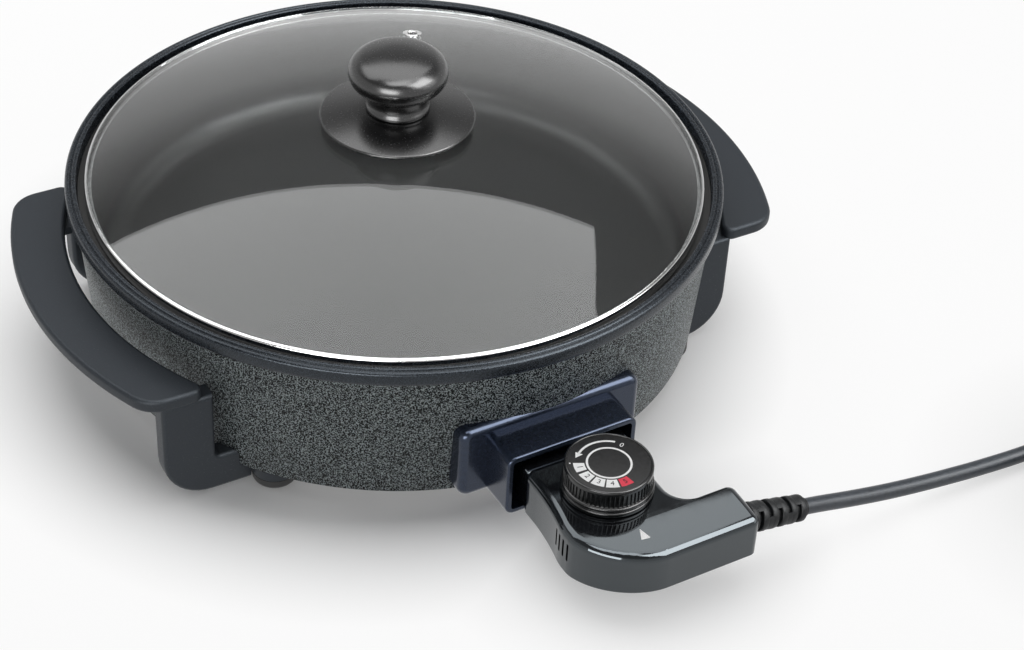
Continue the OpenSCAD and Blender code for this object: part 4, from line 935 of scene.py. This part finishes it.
circle = sector(10.5, 11.6, 0, 360, 96)
arrow = sector(15.5, 16.7, ARROW_FROM, ARROW_SWEEP, 24)
tick = sector(19.2, 19.9, 153, 2.5, 2)
head = slab([(14, 0, 0.1), (18, 0, 0.1), (16.4, 4, 0.1)], FACE_Z, FACE_Z + INK, 0, 0, 2)
white = [circle, arrow, tick] + [block(angle) for _, angle in BLOCKS[:-1]]
white += [placed(head, about_dial(ARROW_HEAD)), numeral("0", NOUGHT, NOUGHT_REACH)]
add_piece("dial_marks", placed(joined(*white), AT_DIAL), "dial", [print_white])
hot = block(BLOCKS[-1][1])
add_piece("dial_hot_mark", placed(hot, AT_DIAL), "dial", [print_red])
digits = [numeral(str(value), angle, BLOCK_MIDDLE) for value, angle in BLOCKS]
add_piece("dial_numbers", placed(joined(*digits), AT_DIAL), "dial", [dial_black])

# %% [markdown]
# What the housing hides keeps the solid model's own shape: screws, the heating ring with its pins, the
# parts inside the control, the base plate. Each still gets the finish of what it is made of.

# %% Finishes of the hidden parts
HIDDEN = {
    "base_plate": base_steel, "heating_element": sheath, "pin_insulators": ceramic,
    "guard_screws": plain_steel, "handle_screws": plain_steel, "lid_gasket": seal_rubber,
    "lid_washer": plain_steel, "lid_knob_screw": plain_steel, "control_screws": plain_steel,
    "terminal_block": phenolic, "contact_sleeves": brass, "contact_blades": brass,
    "bimetal_arm": plain_steel, "temperature_probe": plain_steel, "dial_spindle": plain_steel}
for name, surface in HIDDEN.items():
    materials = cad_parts[name].data.materials
    materials.clear()
    materials.append(surface)
print("finished hidden parts:", len(HIDDEN))

# %% [markdown]
# The set shows one thing to the camera, to gloss and to glass, and another to matt surfaces. Light Path
# nodes tell the rays apart, and Math nodes choose between the two.

# %% Tools for the set
def worked(tree, operation, *values):
    """The result of a Math node on two values, each a socket or a number."""
    node = tree.nodes.new("ShaderNodeMath")
    node.operation = operation
    for socket, value in zip(node.inputs, values):
        if isinstance(value, float):
            socket.default_value = value
        else:
            tree.links.new(value, socket)
    return node.outputs[0]


def mirrored_rays(path, tree):
    """One for rays of reflections and through glass."""
    return worked(tree, "MAXIMUM", path.outputs["Is Glossy Ray"], path.outputs["Is Transmission Ray"])


# %% [markdown]
# The floor is pale paper. For the camera, gloss and glass a white glow covers it away from the object and
# fades near it, so the real soft shadow shows there together with painted shade: near the object the floor
# is darker also where no shadow falls. What the object mirrors of it stays whiter.

# %% Floor
# Where the white glow of the floor fades, round the pan, the control and the coil: the middle, from where
# to where it turns white, in metres, and its least share of white. In these pools the floor shows its lit
# colour with the real shadow, and is darker than elsewhere also where no shadow falls, which is painted
# shade.
SHADE_POOLS = [((-0.02, 0.05), (0.17, 0.245), 0.10), ((0.02, -0.17), (0.0, 0.11), 0.10),
           ((0.283, -0.273), (0.04, 0.13), 0.45)]
MOST_WHITE, LEAST_MIRRORED, FLOOR_HALF, PAPER, PAPER_ROUGH = 0.86, 0.7, 6, 0.93, 0.9
floor_bm = bmesh.new()
bmesh.ops.create_grid(floor_bm, x_segments=2, y_segments=2, size=FLOOR_HALF)
floor_mesh = bpy.data.meshes.new("floor")
floor_bm.to_mesh(floor_mesh)
floor_bm.free()
floor = new_object("floor", floor_mesh)
paper = bpy.data.materials.new("paper")
paper.use_nodes = True
tree = paper.node_tree
sheet = tree.nodes["Principled BSDF"]
sheet.inputs["Base Color"].default_value = (*grey(PAPER), 1)
sheet.inputs["Roughness"].default_value = PAPER_ROUGH
glow = tree.nodes.new("ShaderNodeEmission")
share = tree.nodes.new("ShaderNodeMixShader")
floor_spot = tree.nodes.new("ShaderNodeTexCoord").outputs["Object"]
floor_white = MOST_WHITE
# The glow fades round each middle, which leaves pools of painted shade round the pan, the control and the
# coil, beside their real shadows.
for middle, reach, least in SHADE_POOLS:
    away = tree.nodes.new("ShaderNodeVectorMath")
    away.operation = "DISTANCE"
    away.inputs[1].default_value = (*middle, 0)
    tree.links.new(floor_spot, away.inputs[0])
    floor_white = worked(tree, "MINIMUM", floor_white,
                         between(tree, away.outputs["Value"], least, MOST_WHITE, reach))
floor_path = tree.nodes.new("ShaderNodeLightPath")
by_camera = worked(tree, "MULTIPLY", floor_path.outputs["Is Camera Ray"], floor_white)
by_mirror = worked(tree, "MULTIPLY", mirrored_rays(floor_path, tree),
                   worked(tree, "MAXIMUM", floor_white, LEAST_MIRRORED))
tree.links.new(worked(tree, "MAXIMUM", by_camera, by_mirror), share.inputs["Fac"])
tree.links.new(sheet.outputs[0], share.inputs[1])
tree.links.new(glow.outputs[0], share.inputs[2])
tree.links.new(share.outputs[0], tree.nodes["Material Output"].inputs["Surface"])
floor_mesh.materials.append(paper)
print("floor with", len(SHADE_POOLS), "shadows")

# %% [markdown]
# The surround lights the object at a low, plain level. For the camera, gloss and glass it is white to
# above the horizon and dimmer overhead, as in a studio.

# %% Surround
AMBIENT, OVERHEAD = 0.18, 0.3
DIMS_BETWEEN = (0.3, 0.58)  # heights on a sphere of radius 1
world = bpy.data.worlds.new("surround")
bpy.context.scene.world = world
world.use_nodes = True
air = world.node_tree
dim = air.nodes["Background"]
dim.inputs["Color"].default_value = (1, 1, 1, 1)
dim.inputs["Strength"].default_value = AMBIENT
bright = air.nodes.new("ShaderNodeBackground")
heading = air.nodes.new("ShaderNodeSeparateXYZ")
air.links.new(air.nodes.new("ShaderNodeTexCoord").outputs["Generated"], heading.inputs[0])
air.links.new(between(air, heading.outputs["Z"], 1.0, OVERHEAD, DIMS_BETWEEN), bright.inputs["Strength"])
choose = air.nodes.new("ShaderNodeMixShader")
air_path = air.nodes.new("ShaderNodeLightPath")
air.links.new(worked(air, "MAXIMUM", air_path.outputs["Is Camera Ray"], mirrored_rays(air_path, air)),
              choose.inputs["Fac"])
air.links.new(dim.outputs[0], choose.inputs[1])
air.links.new(bright.outputs[0], choose.inputs[2])
air.links.new(choose.outputs[0], air.nodes["World Output"].inputs["Surface"])
print("surround:", world.name)

# %% [markdown]
# One large soft box hangs over the pan and a little behind it, with a fainter one at the front. Three
# bright cards stand where only glossy surfaces see them, as in a product studio, and add nothing to
# matt ones.

# %% Lamps
def soft_box(name, place, aim, size, level, turn=0.0, lights_matt=True):
    """A rectangular lamp whose face shines at a level where 1 is white, or a card that only gloss shows."""
    lamp = bpy.data.lights.new(name, "AREA")
    lamp.shape, lamp.size, lamp.size_y = "RECTANGLE", *size
    lamp.energy = level * math.pi * size[0] * size[1]
    holder = new_object(name, lamp)
    holder.matrix_world = (Matrix.Translation(place)
                           @ (Vector(aim) - Vector(place)).to_track_quat("-Z", "Y").to_matrix().to_4x4()
                           @ Matrix.Rotation(turn, 4, "Z"))
    holder.visible_diffuse = lights_matt


soft_box("overhead", (-0.065, 0.65, 1.5), (-0.065, 0.6501, 0), (2.3, 1.35), 2.5, math.radians(-31.5))
soft_box("front_fill", (1.5, -1.3, 0.7), (0, 0, 0.05), (1.2, 0.8), 1.7)
soft_box("left_card", (-1.2, -1.1, 0.45), (-0.1, -0.05, 0.06), (1.1, 0.6), 9, lights_matt=False)
soft_box("front_card", (0.62, -0.81, 1.05), (0.02, -0.22, 0.05), (1.1, 0.9), 9, lights_matt=False)
soft_box("top_card", (-0.25, -0.45, 1.5), (-0.1, 0.05, 0.1), (1.0, 0.6), 5, lights_matt=False)
bpy.context.scene.view_settings.view_transform = "Standard"
print("lamps:", len(bpy.data.lights))

# %% [markdown]

# %% End
print("scene done")
